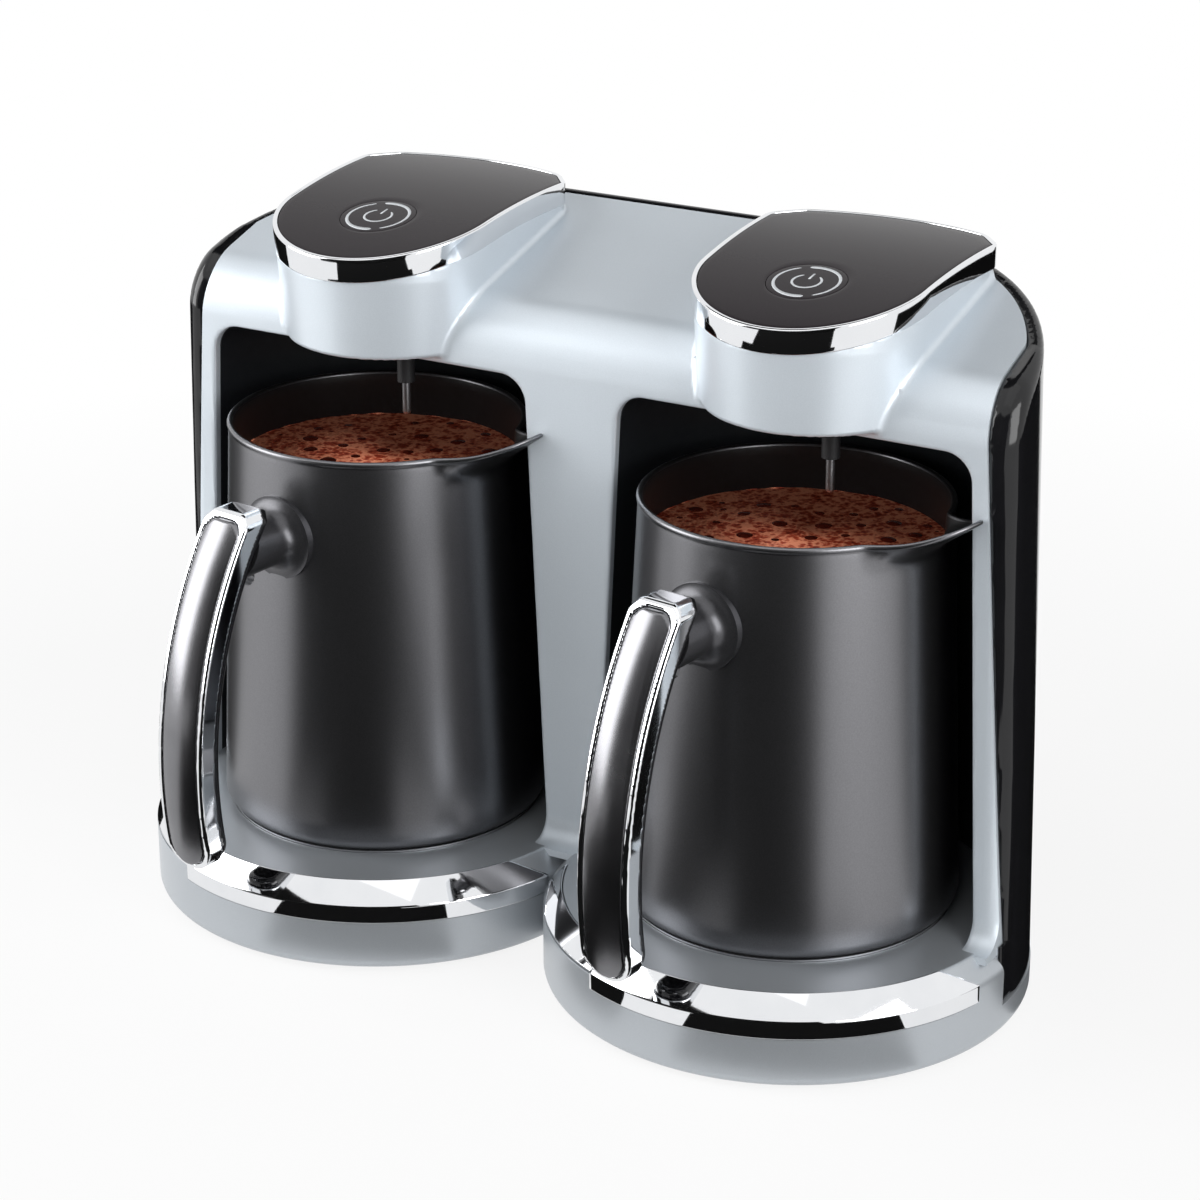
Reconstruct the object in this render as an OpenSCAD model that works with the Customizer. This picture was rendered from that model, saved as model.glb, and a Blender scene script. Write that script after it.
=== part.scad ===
// Electric coffee maker with two stations. At each station a pot with a bowed
// handle stands on a heated platform, inside an alcove, under a head that holds
// a power button and an overflow sensor.
// Millimetres, +Z up, front towards -Y, origin on the floor under the middle.

/* [Pots] */
// Outer radius of a pot at its base
pot_base_r = 44; // [37:1:53]
// Outer radius of a pot at its rim
pot_rim_r = 39; // [33:1:43]
// Height of a pot from its base to its rim
pot_h = 107; // [89:1:129]
// Wall thickness of a pot
pot_wall = 1.4; // [1:0.1:2.2]
// How far the tip of the spout reaches past the rim
spout_reach = 13; // [10:1:15]
// How high the tip of the spout stands above the rim
spout_rise = 4.5; // [2:0.5:7]
// Angle by which the spouts point forward of sideways
spout_forward = 12.5; // [12:0.5:16]
// Angle by which the handles are turned to the left
pot_turn = 7.5; // [0:0.5:12]

/* [Handles] */
// Width of a handle
handle_w = 15; // [12:0.5:18]
// Thickness of a handle, from its outer face to the back of its grip
handle_t = 8.8; // [7.3:0.1:10.6]
// Radius of the handle's bow, along its outer face
handle_bow_r = 112; // [93:1:135]
// Farthest distance of a handle's outer face from the pot's wall at the base
handle_reach = 35.6; // [32:0.1:42]
// Distance of the handle's top below the pot's rim
handle_drop = 10.5; // [8:0.5:14]
// Height of the handle's lower end above the pot's base
handle_foot = 4.5; // [3:0.5:12]

/* [Casing] */
// Width of the casing between the two alcoves, at the platform
pillar_w = 15; // [12:1:19]
// Ledge of the platform around a pot
ledge = 19; // [16:1:23]
// Gap between a pot's base and the alcove's wall
base_gap = 10; // [8:1:12]
// Gap between a pot's rim and the alcove's wall, at the ceiling
rim_gap = 9; // [8:1:12]
// Height of the platform above the floor
platform_z = 25; // [21:0.5:30]
// Clear height between a pot's rim and the alcove's ceiling
headroom = 19; // [15:1:24]
// How far the flat front face lies in front of the stations' axes
face_y = 5; // [4:0.5:8]
// Space between the alcove's wall and the outside of the casing, at the top
casing_space = 10; // [9:0.5:12]
// Slope of the casing's top, in degrees
top_slope = 16.7; // [14:0.1:20]
// Height of the casing's front shoulder above the alcove's ceiling
shoulder_h = 14.5; // [12:0.5:17]
// Radius of the shoulder between the front face and the top
shoulder_r = 12; // [9:0.5:14]
// Radius of the casing's other edges
edge_r = 6; // [5:0.5:7]
// Width of the dark rim beside the front shell, at the casing's top
rim_top = 8.6; // [7:0.1:10]
// Width of the dark rim behind the front shell
rim_back = 3.5; // [3:0.1:5]
// Wall thickness of the moulded shells
skin = 2.5; // [2:0.1:3]

/* [Heads] */
// Radius of a head's round nose
nose_r = 30.3; // [26:0.1:34]
// How far the centre of the nose lies behind the station's axis
nose_y = 8.2; // [6:0.1:10]
// Half the width of a head at its back corners
head_back_w = 31.7; // [30:0.1:36]
// Height of the head's top edge above the alcove's ceiling, at the back
head_h = 37.3; // [33:0.1:44]
// Tilt of the head's top towards the front, in degrees
head_tilt = 6.4; // [3:0.1:8]
// Height of the crown along the head's top
head_crown = 3; // [2:0.1:4]
// Height of the chrome band around the head's top
band_h = 6; // [5:0.1:7]
// Radius of a power button
button_r = 10; // [8.4:0.1:12]
// Travel of a power button
button_travel = 1; // [0.6:0.1:1.4]

/* [Base trim] */
// Height of the lower edge of the chrome band above the floor
trim_z = 15; // [13:0.5:17]
// Drop of the sloping part of the trim below the platform
trim_drop = 5.4; // [4.5:0.1:6.5]
// Width of the sloping part of the trim, seen from above
trim_w = 4.7; // [4:0.1:5.6]
// Angle left of the front at which the upright band ends
band_left = 24; // [15:1:50]

/* [Hidden] */
$fn = 96;
fine_fn = 240;             // facets of the widest arcs
hull_fn = 20;              // facets of the balls that carry a hull

left = -1;
right = 1;
far = 500;                 // longer than the whole object, for cutting tools

grey = [0.62, 0.67, 0.71];
gloss_black = [0.05, 0.05, 0.06];
satin_black = [0.13, 0.13, 0.14];
chrome = [0.85, 0.86, 0.88];
steel = [0.7, 0.7, 0.72];
board_green = [0.1, 0.35, 0.2];
rubber = [0.09, 0.09, 0.09];

// Heights
plate_lift = 0.5;                          // heater plate above the platform
seat_z = platform_z + plate_lift;          // where the pots stand
rim_z = seat_z + pot_h;
ceiling_z = rim_z + headroom;              // alcoves' ceiling
head_floor_z = ceiling_z + 2;              // underside of the heads
floor_gap = 1.5;                           // base shell above the floor

// Radii about a station's axis
base_r = pot_base_r + ledge;
alcove_base_r = pot_base_r + base_gap;
alcove_top_r = pot_rim_r + rim_gap;
casing_top_r = alcove_top_r + casing_space;
pitch = 2 * alcove_base_r + pillar_w;      // distance between the stations' axes
liner_wall = 2;
alcove_edge_r = 7;                         // rounding between alcove wall and ceiling

// The casing's top plane meets the front face's plane at this height
top_front_z = ceiling_z + shoulder_h;
function top_z(y) = top_front_z + tan(top_slope) * (y + face_y);
casing_top_z = top_z(casing_top_r);
// Radius of the casing's sides and back at height z
function casing_r(z) = base_r + (casing_top_r - base_r) * z / casing_top_z;
rim_foot = 0.7;                            // dark rim's width at the floor
face_depth = 5;                            // how far the front shell wraps back
face_fillet = 7;                           // rounding between face and platform
housing_foot_z = 9.5;                      // lower edge of the rear housing
skirt_t = 1.2;                             // its thickness outside the base shell

// A head's outline from above: a round nose, straight sides, cut back corners
band_t = 1.3;                              // chrome band's thickness
band_lip = 0.8;                            // band proud of the head's wall
nose_draft = 1.8;                          // taper of the nose towards its floor
nose_fillet_r = 6;
head_back_r = casing_top_r + 0.6;
corner_w = 0.8 * head_back_w;
corner_y = sqrt(pow(head_back_r, 2) - pow(corner_w, 2));
side_y = corner_y - 1.28 * (head_back_w - corner_w);
corner_turn = atan2(side_y - corner_y, head_back_w - corner_w);
nose_tip = nose_r - nose_y;

// The head's top is a cylinder that lies along X, over a tilted chord that
// runs from the nose to the back corners
chord_run = corner_y + nose_tip;
chord_half = chord_run / cos(head_tilt) / 2;
crown_r = pow(chord_half, 2) / (2 * head_crown) + head_crown / 2;
crown_y = (corner_y - nose_tip) / 2 + sin(head_tilt) * (crown_r - head_crown);
crown_z = ceiling_z + head_h - tan(head_tilt) * chord_run / 2
    - cos(head_tilt) * (crown_r - head_crown);
button_y = 2.8;
button_tilt = asin((crown_y - button_y) / crown_r);
button_z = crown_z + crown_r * cos(button_tilt);

// Depths below the head's top
panel_t = 2.2;
button_gap = 0.25;
cap_t = 2;
stem_r = 3;
well_floor = cap_t + button_travel + 1.5;
well_t = 1.4;
stem_end = well_floor + well_t + 2;
switch_top = stem_end + button_travel + 0.1;
switch_h = 4;
board_depth = switch_top + switch_h;
board_t = 1.6;
board_w = 28;
board_l = 34;
board_shift = 5;                           // board's centre behind the button
post_r = 2.2;
post_inset = 3.5;

// Sensor
sensor_x = 8;
sensor_y = 2;
sleeve_r = 2.3;
sleeve_h = 9;
flange_r = 4.2;
flange_t = 1.5;
rod_r = 1.1;
rod_gap = 0.8;                             // rod's tip above the pot's rim

// Heater
plate_r = pot_base_r - 2;
plate_t = 4;
plate_flange = 2.5;
element_r = 3.2;
element_ring_r = plate_r * 0.68;
element_open = 40;                         // degrees between the element's ends
terminal_r = 2;
terminal_h = 6;
thermostat_r = 8;
thermostat_h = 5;

// Base
feet_r = 7;
bottom_t = 2;
bottom_z = floor_gap + 0.7;
boss_r = 4;
screw_r = 1.5;
screw_head_r = 2.9;
screw_head_h = 0.8;
boss_out = 47;                             // outer bosses from a station's axis
boss_y = 22;
boss_points = [for (side = [left, right]) each [
    [side * (pitch / 2 + boss_out), boss_y], [side * (pitch / 2 - boss_out - 6), boss_y + 26]]];
feet_points = [for (side = [left, right]) each [
    [side * pitch / 2, -base_r + 17], [side * (pitch / 2 + base_r * 0.55), base_r * 0.55],
    [side * (pitch / 2 - base_r * 0.62), base_r * 0.5]]];
gland_z = platform_z + 12;
gland_r = 6;
gland_bore_r = 3.3;
gland_proud = 0.6;
gland_depth = 11;
block_w = 24;
block_l = 9;
block_h = 15;

// Trim on the platform's front edge
trim_t = 1.3;
trim_edge = 0.5;                           // its narrow edges
trim_cut = 0.5;                            // cut for the trim, past the platform's edge
valley = asin(min(1, pitch / 2 / base_r)); // where the two round platforms meet
trim_limit = min(valley, acos(face_y / base_r));
trim_right = trim_limit - 2.4;
trim_left = trim_limit - 5;

// Pot
pot_floor = 3;
pot_foot_r = 4;
bead_r = 1;
spout_half_angle = 15;
spout_drop = 14;
spout_tip_r = 1.6;
spout_root = 5;
stud_r = 2.5;
stud_l = 5;
function pot_r(z) = pot_base_r + (pot_rim_r - pot_base_r) * z / pot_h;

// Handle: its bow is an arc in the upright plane through the pot's axis
reach = pot_base_r + handle_reach;
bow_y = handle_bow_r - reach;
bow_z = pot_h * 0.275;
handle_top = pot_h - handle_drop;
handle_chamfer = 2.5;
frame_t = handle_t * 0.6;
inlay_t = 1.6;
inlay_edge = 1.5;
grip_inset = 0.8;
neck_z = handle_top - 12;
neck_r = 6.5;
neck_flare = 4.5;
neck_screw_r = 2;
neck_head_r = 3.4;
neck_head_t = 1.6;
neck_screw_l = 7;
neck_angle = asin((neck_z - bow_z) / handle_bow_r);

// The machine stands with its handles and its back equally far from the origin
front_reach = reach * cos(pot_turn) + handle_w / 2 * sin(pot_turn);
station_y = (front_reach - base_r) / 2;

// ---------------------------------------------------------------- placing

// Puts the shared parts, drawn about the line of the stations' axes, in place
module in_place() translate([0, station_y, 0]) children();

// Puts a station's own parts, drawn about its axis, in place
module at_station(side) in_place() translate([side * pitch / 2, 0, 0]) children();

module at_both() for (side = [left, right]) translate([side * pitch / 2, 0, 0]) children();

// Puts a pot's parts, drawn standing at the origin with the handle towards -Y
module at_pot(side) at_station(side) translate([0, 0, seat_z]) rotate([0, 0, -pot_turn]) children();

// Lays what is drawn on the plane z = 0 onto the head's top, at the button
module on_head_top() translate([0, button_y, button_z]) rotate([button_tilt, 0, 0]) children();

// Everything in front of (that is, towards -Y of) or behind a plane across Y
module front_of(y) translate([-far / 2, y - far, -far / 2]) cube(far);
module behind(y) translate([-far / 2, y, -far / 2]) cube(far);
module above(z) translate([-far / 2, -far / 2, z]) cube(far);

// ---------------------------------------------------------------- shared forms

// The machine's outline from above, drawn to the radius r about each station
module rows_plan(r) {
    at_both() circle(r = r);
    translate([-pitch / 2, 0]) square([pitch, r]);
}

// The casing's tapered form without its rounded edges, drawn in by d
module casing_core(d) {
    top = casing_top_z + 30;
    at_both() cylinder(h = top, r1 = casing_r(0) - d, r2 = casing_r(top) - d);
    translate([-pitch / 2, 0, 0]) rotate([90, 0, 90]) linear_extrude(pitch)
        polygon([[-face_y - 20, 0], [casing_r(0) - d, 0], [casing_r(top) - d, top], [-face_y - 20, top]]);
}

// The casing's closed form with rounded edges, drawn in by d. Balls carry the
// rounded edge of the top, and rods those of the front.
module casing_block(d) {
    ball = edge_r - d;
    ring_top = casing_r(casing_top_z - edge_r) - edge_r;
    ring_foot = casing_r(0) - edge_r;
    shoulder_y = shoulder_r - face_y;
    shoulder_z = top_z(shoulder_y) - shoulder_r / cos(top_slope);
    hull() {
        for (side = [left, right], a = [0 : 15 : 90]) {
            y = ring_top * sin(a);
            translate([side * (pitch / 2 + ring_top * cos(a)), y, top_z(y) - edge_r / cos(top_slope)])
                sphere(r = ball, $fn = hull_fn);
            translate([side * (pitch / 2 + ring_foot * cos(a)), ring_foot * sin(a), 0])
                cylinder(h = 0.1, r = ball, $fn = hull_fn);
        }
        for (side = [left, right], z = [0, shoulder_z])
            translate([side * (pitch / 2 + casing_r(z) - edge_r), edge_r - face_y, z])
                cylinder(h = 0.1, r = ball, $fn = hull_fn);
        translate([0, shoulder_y, shoulder_z]) rotate([0, 90, 0])
            cylinder(h = pitch + 2 * (ring_top - 3), r = shoulder_r - d, center = true, $fn = 48);
    }
}

// The part of the casing that belongs to the front shell: it narrows upwards,
// stops short of the back, and wraps a little way round the front corners
module shell_zone() {
    foot_w = pitch / 2 + casing_r(0) - rim_foot;
    top_w = pitch / 2 + casing_r(casing_top_z) - rim_top;
    intersection() {
        translate([0, far / 2, 0]) rotate([90, 0, 0]) linear_extrude(far)
            polygon([[-foot_w, 0], [foot_w, 0], [top_w, casing_top_z], [-top_w, casing_top_z]]);
        union() {
            casing_core(rim_back);
            front_of(face_depth - face_y);
        }
    }
}

// The space of an alcove, a tapered round bay with a rounded ceiling edge,
// grown outwards by d
module alcove_space(d) {
    r = alcove_edge_r;
    top_r = alcove_top_r + d;
    top = ceiling_z + d;
    rotate_extrude() difference() {
        polygon([[0, platform_z], [alcove_base_r + d, platform_z], [top_r, top], [0, top]]);
        translate([top_r - r, top - r]) difference() {
            square(2 * r);
            circle(r = r);
        }
    }
}

// A head's outline from above, drawn in by d
module head_plan(d) {
    spread = (head_back_w - nose_r) / (side_y - nose_y);
    run = head_back_r - nose_y;
    translate([0, nose_y]) circle(r = nose_r - d, $fn = fine_fn);
    difference() {
        intersection() {
            translate([0, nose_y]) polygon([[d - nose_r, 0], [nose_r - d, 0],
                [nose_r + spread * run - d, run], [d - nose_r - spread * run, run]]);
            circle(r = head_back_r - d, $fn = fine_fn);
        }
        for (m = [0, 1]) mirror([m, 0]) translate([corner_w, corner_y]) rotate(corner_turn)
            translate([-far / 2, -d]) square(far);
    }
}

// Everything under the head's crowned top, lowered by d
module under_crown(d) translate([0, crown_y, crown_z]) rotate([0, 90, 0])
    cylinder(h = far, r = crown_r - d, center = true, $fn = fine_fn);

// A crowned slab of a head's outline, from depth d1 to depth d2
module crown_slab(inset, d1, d2) intersection() {
    linear_extrude(far) head_plan(inset);
    difference() {
        under_crown(d1);
        under_crown(d2);
    }
}

// A head below its band: it overhangs the front, and elsewhere stands on the
// sloping top. The nose tapers a little towards its floor.
module head_form(inset, z0) intersection() {
    translate([0, 0, z0]) linear_extrude(far) head_plan(band_lip + inset);
    under_crown(band_h);
    union() {
        front_of(skin - face_y);
        translate([0, -face_y, top_front_z - skin / cos(top_slope)]) rotate([top_slope, 0, 0]) above(0);
    }
    union() {
        translate([0, nose_y, head_floor_z])
            cylinder(h = top_front_z - head_floor_z, r1 = nose_r - band_lip - inset - nose_draft,
                r2 = nose_r - band_lip - inset, $fn = fine_fn);
        above(top_front_z);
        behind(-face_y);
    }
}

// Concave rounding between a head's nose and the front face
module nose_fillet() {
    r = nose_fillet_r;
    w = nose_r - band_lip - nose_draft / 2;
    y = -face_y - r;
    x = sqrt(pow(w + r, 2) - pow(nose_y - y, 2));
    touch = w / (w + r);
    intersection() {
        translate([0, 0, head_floor_z]) linear_extrude(far) for (m = [0, 1]) mirror([m, 0])
            difference() {
                polygon([[x, y + r], [x, y], [touch * x, nose_y + touch * (y - nose_y)],
                    [touch * x - 4, nose_y + touch * (y - nose_y) + 4], [w / 2, y + r + 1], [x, y + r + 1]]);
                translate([x, y]) circle(r = r);
            }
        // its top follows the shoulder
        translate([-far / 2, 0, 0]) rotate([90, 0, 90]) linear_extrude(far) {
            shoulder_y = shoulder_r - face_y - r;
            shoulder_z = top_front_z - shoulder_r * tan(45 - top_slope / 2);
            translate([shoulder_y, shoulder_z]) circle(r = shoulder_r);
            translate([shoulder_y - shoulder_r, 0]) square([2 * shoulder_r, shoulder_z]);
        }
    }
}

// ---------------------------------------------------------------- casing

module front_shell() color(grey) in_place() difference() {
    union() {
        intersection() {
            difference() {
                casing_block(0);
                casing_block(skin);
            }
            shell_zone();
            above(platform_z);
        }
        at_both() difference() {
            union() {
                head_form(0, head_floor_z);
                nose_fillet();
            }
            head_form(skin - 0.5, head_floor_z + skin);
        }
        // rounding between the face and the platform
        intersection() {
            translate([-far / 2, -face_y - face_fillet, platform_z]) rotate([90, 0, 90])
                linear_extrude(far) difference() {
                    square([face_fillet + 1, face_fillet]);
                    translate([0, face_fillet]) circle(r = face_fillet);
                }
            shell_zone();
            casing_core(rim_foot);
        }
    }
    at_both() {
        alcove_space(0);
        head_opening();
    }
}

// Under a head the casing is open, so that wires and the sensor can pass
module head_opening() intersection() {
    translate([0, 0, head_floor_z + skin]) linear_extrude(far) head_plan(band_lip + skin + 1);
    under_crown(band_h);
}

module rear_housing() color(gloss_black) in_place() difference() {
    union() {
        intersection() {
            difference() {
                casing_block(0);
                casing_block(skin);
                shell_zone();
            }
            above(platform_z);
        }
        skirt();
    }
    at_both() head_form(0, head_floor_z);
    translate([0, 0, gland_z]) rotate([-90, 0, 0]) cylinder(h = far, r = gland_r);
}

// The rear housing's lower edge, which overlaps the base shell
module skirt() intersection() {
    difference() {
        casing_core(0);
        casing_core(skirt_t);
    }
    behind(-face_y);
    translate([0, 0, housing_foot_z]) cylinder(h = platform_z - housing_foot_z, r = far);
}

// What is cut from the platforms' front edge, where the trim's slope lies
module edge_cut() for (side = [left, right]) intersection() {
    translate([side * pitch / 2, 0, 0]) rotate_extrude()
        polygon([[base_r, platform_z - trim_drop], [base_r - trim_w, platform_z],
            [base_r - trim_w, platform_z + 1], [base_r + 1, platform_z + 1],
            [base_r + 1, platform_z - trim_drop]]);
    front_of(-face_y);
    translate([side > 0 ? 0 : -far, -far / 2, 0]) cube(far);
}

module base_shell() color(grey) in_place() difference() {
    union() {
        difference() {
            translate([0, 0, floor_gap]) linear_extrude(platform_z - floor_gap) rows_plan(base_r);
            linear_extrude(platform_z - trim_drop - skin) rows_plan(base_r - skin);
            linear_extrude(platform_z - skin) rows_plan(base_r - trim_w - skin);
        }
        for (p = boss_points) translate([p[0], p[1], bottom_z + bottom_t])
            cylinder(h = platform_z - skin - bottom_z - bottom_t + 0.5, r = boss_r);
    }
    intersection() {
        difference() {
            above(housing_foot_z);
            casing_core(skirt_t);
        }
        behind(-face_y);
    }
    edge_cut();
    at_both() {
        cylinder(h = far, r = plate_r);
        trim_form(trim_cut);
    }
    for (p = boss_points) translate([p[0], p[1], 0]) cylinder(h = platform_z - skin, r = screw_r);
}

module bottom_plate() color(gloss_black) in_place() difference() {
    translate([0, 0, bottom_z]) linear_extrude(bottom_t) rows_plan(base_r - skin);
    for (p = boss_points) translate([p[0], p[1], 0]) cylinder(h = far, r = screw_r);
}

module rubber_feet() color(rubber) in_place()
    for (p = feet_points) translate([p[0], p[1], 0]) {
        cylinder(h = 0.7, r1 = feet_r - 0.7, r2 = feet_r);
        translate([0, 0, 0.7]) cylinder(h = bottom_z - 0.7, r = feet_r);
    }

module base_screws() color(steel) in_place()
    for (p = boss_points) translate([p[0], p[1], bottom_z - screw_head_h]) {
        cylinder(h = screw_head_h, r = screw_head_r);
        translate([0, 0, screw_head_h]) cylinder(h = bottom_t + 10, r = screw_r);
    }

module cord_gland() color(rubber) in_place() translate([0, casing_r(gland_z) + gland_proud, gland_z])
    rotate([90, 0, 0]) difference() {
        cylinder(h = gland_depth, r = gland_r);
        translate([0, 0, -1]) cylinder(h = gland_depth + 2, r = gland_bore_r);
    }

module terminal_block() color([0.9, 0.9, 0.88]) in_place()
    translate([0, casing_r(gland_z) - gland_depth - block_l - 4, platform_z]) difference() {
        translate([-block_w / 2, 0, 0]) cube([block_w, block_l, block_h]);
        for (x = [-1, 0, 1] * block_w / 3.2) translate([x, -1, block_h * 0.45])
            rotate([-90, 0, 0]) cylinder(h = block_l + 2, r = 1.6);
    }

module alcove_liner(side) color(gloss_black) at_station(side) difference() {
    intersection() {
        alcove_space(liner_wall);
        behind(skin - face_y);
    }
    alcove_space(0);
    translate([sensor_x, sensor_y, 0]) cylinder(h = far, r = sleeve_r);
}

// ---------------------------------------------------------------- base trim

// Section of the trim: an upright band, a sloping part and a narrow lip on
// the platform. With proud set, it is the section of the cut that it seats in.
module trim_section(proud) {
    inner_r = base_r - trim_w - trim_edge;
    polygon(concat([[inner_r, platform_z - trim_t], [base_r - trim_t, platform_z - trim_drop],
        [base_r - trim_t, trim_z], [base_r + proud, trim_z]],
        proud > 0 ? [[base_r + proud, platform_z + proud], [inner_r, platform_z + proud]]
            : [[base_r, platform_z - trim_drop], [base_r - trim_w, platform_z], [inner_r, platform_z]]));
}

// To the left of band_left only the sloping part goes on, with a narrow edge
module trim_form(proud) difference() {
    rotate([0, 0, -90 - trim_left]) rotate_extrude(angle = trim_left + trim_right) trim_section(proud);
    rotate([0, 0, -92 - trim_left]) rotate_extrude(angle = trim_left + 2 - band_left)
        translate([base_r - 2 * trim_t, trim_z - 1])
            square([3 * trim_t + proud, platform_z - trim_drop - trim_z + 1 - trim_edge]);
}

module base_trim(side) color(chrome) at_station(side) trim_form(0);

// ---------------------------------------------------------------- heaters

module element_path() {
    rotate([0, 0, 90 + element_open / 2]) rotate_extrude(angle = 360 - element_open)
        translate([element_ring_r, 0]) circle(r = element_r);
    for (m = [-1, 1]) rotate([0, 0, 90 + m * element_open / 2]) translate([element_ring_r, 0, -terminal_h])
        cylinder(h = terminal_h, r = terminal_r);
}

module heater_plate(side) color(steel) at_station(side) difference() {
    union() {
        translate([0, 0, seat_z - plate_t]) cylinder(h = plate_t, r = plate_r);
        translate([0, 0, seat_z - plate_t])
            cylinder(h = plate_t - plate_lift - skin, r = plate_r + plate_flange);
    }
    translate([0, 0, seat_z - plate_t]) element_path();
}

module heating_element(side) color(steel) at_station(side)
    translate([0, 0, seat_z - plate_t]) element_path();

module thermostat(side) color(satin_black) at_station(side)
    translate([0, 0, seat_z - plate_t - thermostat_h]) {
        cylinder(h = thermostat_h, r = thermostat_r);
        for (m = [-1, 1]) translate([m * thermostat_r * 0.6 - 0.4, -3, -4]) cube([0.8, 6, 4.5]);
    }

// ---------------------------------------------------------------- heads

module head_rim(side) color(chrome) at_station(side) intersection() {
    linear_extrude(far) difference() {
        head_plan(0);
        head_plan(band_t);
    }
    difference() {
        under_crown(0);
        under_crown(band_h);
    }
}

// The panel carries the button's well and the posts of the control board
module top_panel(side) color(gloss_black) at_station(side) difference() {
    union() {
        crown_slab(band_t, 0, panel_t);
        difference() {
            crown_slab(band_t, panel_t, band_h);
            linear_extrude(far) head_plan(band_t + 1.5);
        }
        intersection() {
            under_crown(panel_t / 2);
            on_head_top() {
                translate([0, 0, -well_floor - well_t]) cylinder(h = well_floor + well_t, r = button_r + 1.5);
                for (x = [-1, 1], y = [-1, 1]) translate([x * (board_w / 2 - post_inset),
                    board_shift + y * (board_l / 2 - post_inset), -board_depth])
                        cylinder(h = board_depth, r = post_r);
            }
        }
    }
    on_head_top() {
        translate([0, 0, -well_floor]) cylinder(h = far, r = button_r);
        translate([0, 0, -far / 2]) cylinder(h = far, r = stem_r + button_gap);
    }
}

module power_button(side) color(gloss_black) at_station(side) intersection() {
    under_crown(0);
    on_head_top() {
        translate([0, 0, -cap_t]) cylinder(h = cap_t + 2, r = button_r - button_gap);
        translate([0, 0, -stem_end]) cylinder(h = stem_end, r = stem_r);
    }
}

module push_switch(side) color(satin_black) at_station(side) on_head_top() {
    translate([-3, -3, -board_depth]) cube([6, 6, switch_h - 1]);
    translate([0, 0, -board_depth]) cylinder(h = switch_h, r = 1.7);
}

module control_board(side) color(board_green) at_station(side) on_head_top()
    translate([-board_w / 2, board_shift - board_l / 2, -board_depth - board_t])
        cube([board_w, board_l, board_t]);

module sensor_sleeve(side) color(satin_black) at_station(side) translate([sensor_x, sensor_y, 0])
    difference() {
        union() {
            translate([0, 0, ceiling_z - sleeve_h]) cylinder(h = sleeve_h + liner_wall, r = sleeve_r);
            translate([0, 0, ceiling_z + liner_wall]) cylinder(h = flange_t, r = flange_r);
        }
        cylinder(h = far, r = rod_r);
    }

module sensor_rod(side) color(steel) at_station(side) translate([sensor_x, sensor_y, rim_z + rod_gap]) {
    translate([0, 0, rod_r]) cylinder(h = ceiling_z + liner_wall + 4 - rim_z - rod_gap, r = rod_r);
    translate([0, 0, rod_r]) sphere(r = rod_r);
}

// ---------------------------------------------------------------- pots

// A pot's closed form, drawn in by d, with a rounded foot
module pot_form(d, z0, foot) rotate_extrude($fn = fine_fn) {
    r0 = pot_r(z0) - d;
    polygon([[0, z0], [r0 - foot, z0], [r0 - foot, z0 + foot], [pot_r(z0 + foot) - d, z0 + foot],
        [pot_rim_r - d, pot_h], [0, pot_h]]);
    intersection() {
        translate([pot_r(z0 + foot) - d - foot, z0 + foot]) circle(r = foot);
        translate([0, z0]) square([far, foot]);
    }
}

// The spout's form, drawn in by d and lifted by up. Its root lies inside the
// pot's wall.
module spout_form(d, up) rotate([0, 0, pot_turn - spout_forward]) {
    for (a = [-1, 1] * spout_half_angle) rotate([0, 0, a])
        translate([pot_rim_r - spout_root, 0, pot_h - spout_tip_r - 0.6 + up])
            sphere(r = spout_tip_r - d, $fn = hull_fn);
    translate([pot_rim_r - spout_root, 0, pot_h - spout_drop + up])
        sphere(r = spout_tip_r - d, $fn = hull_fn);
    translate([pot_rim_r + spout_reach - spout_tip_r, 0, pot_h + spout_rise - spout_tip_r + up])
        sphere(r = spout_tip_r - d, $fn = hull_fn);
}

module pot_body(side) color(satin_black) at_pot(side) difference() {
    union() {
        pot_form(0, 0, pot_foot_r);
        rotate_extrude($fn = fine_fn) translate([pot_rim_r - 0.2, pot_h - bead_r]) circle(r = bead_r);
        hull() spout_form(0, 0);
        translate([0, 0, neck_z]) rotate([90, 0, 0]) cylinder(h = pot_r(neck_z) + stud_l, r = stud_r);
    }
    pot_form(pot_wall, pot_floor, pot_foot_r);
    hull() {
        spout_form(pot_wall, pot_wall * 0.8);
        spout_form(pot_wall, 12);
    }
}

module handle_neck(side) color(satin_black) at_pot(side) difference() {
    intersection() {
        translate([0, 0, neck_z]) rotate([90, 0, 0]) rotate_extrude() difference() {
            square([neck_r + neck_flare, reach]);
            translate([neck_r + neck_flare, pot_r(neck_z) + neck_flare + 0.4]) circle(r = neck_flare);
            translate([neck_r, pot_r(neck_z) + neck_flare + 0.4]) square(reach);
        }
        bow(handle_t, handle_bow_r - 1);
    }
    pot_form(0, 0, pot_foot_r);
    translate([0, 0, neck_z]) rotate([90, 0, 0]) cylinder(h = pot_r(neck_z) + stud_l, r = stud_r);
    neck_screw_form();
}

// The bow of a handle from depth d1 to depth d2 behind its outer face
module bow(d1, d2) translate([0, bow_y, bow_z]) rotate([0, 90, 0]) difference() {
    cylinder(h = 3 * handle_w, r = handle_bow_r - d1, center = true, $fn = fine_fn);
    cylinder(h = 3 * handle_w + 2, r = handle_bow_r - d2, center = true, $fn = fine_fn);
}

// Outline of a handle seen from the front: chamfered top, round lower end
module handle_outline(d) {
    w = handle_w / 2 - d;
    top = handle_top - d;
    translate([0, handle_foot + handle_w / 2]) circle(r = w);
    polygon([[-w, handle_foot + handle_w / 2], [w, handle_foot + handle_w / 2], [w, top - handle_chamfer],
        [w - handle_chamfer, top], [handle_chamfer - w, top], [-w, top - handle_chamfer]]);
}

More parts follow.
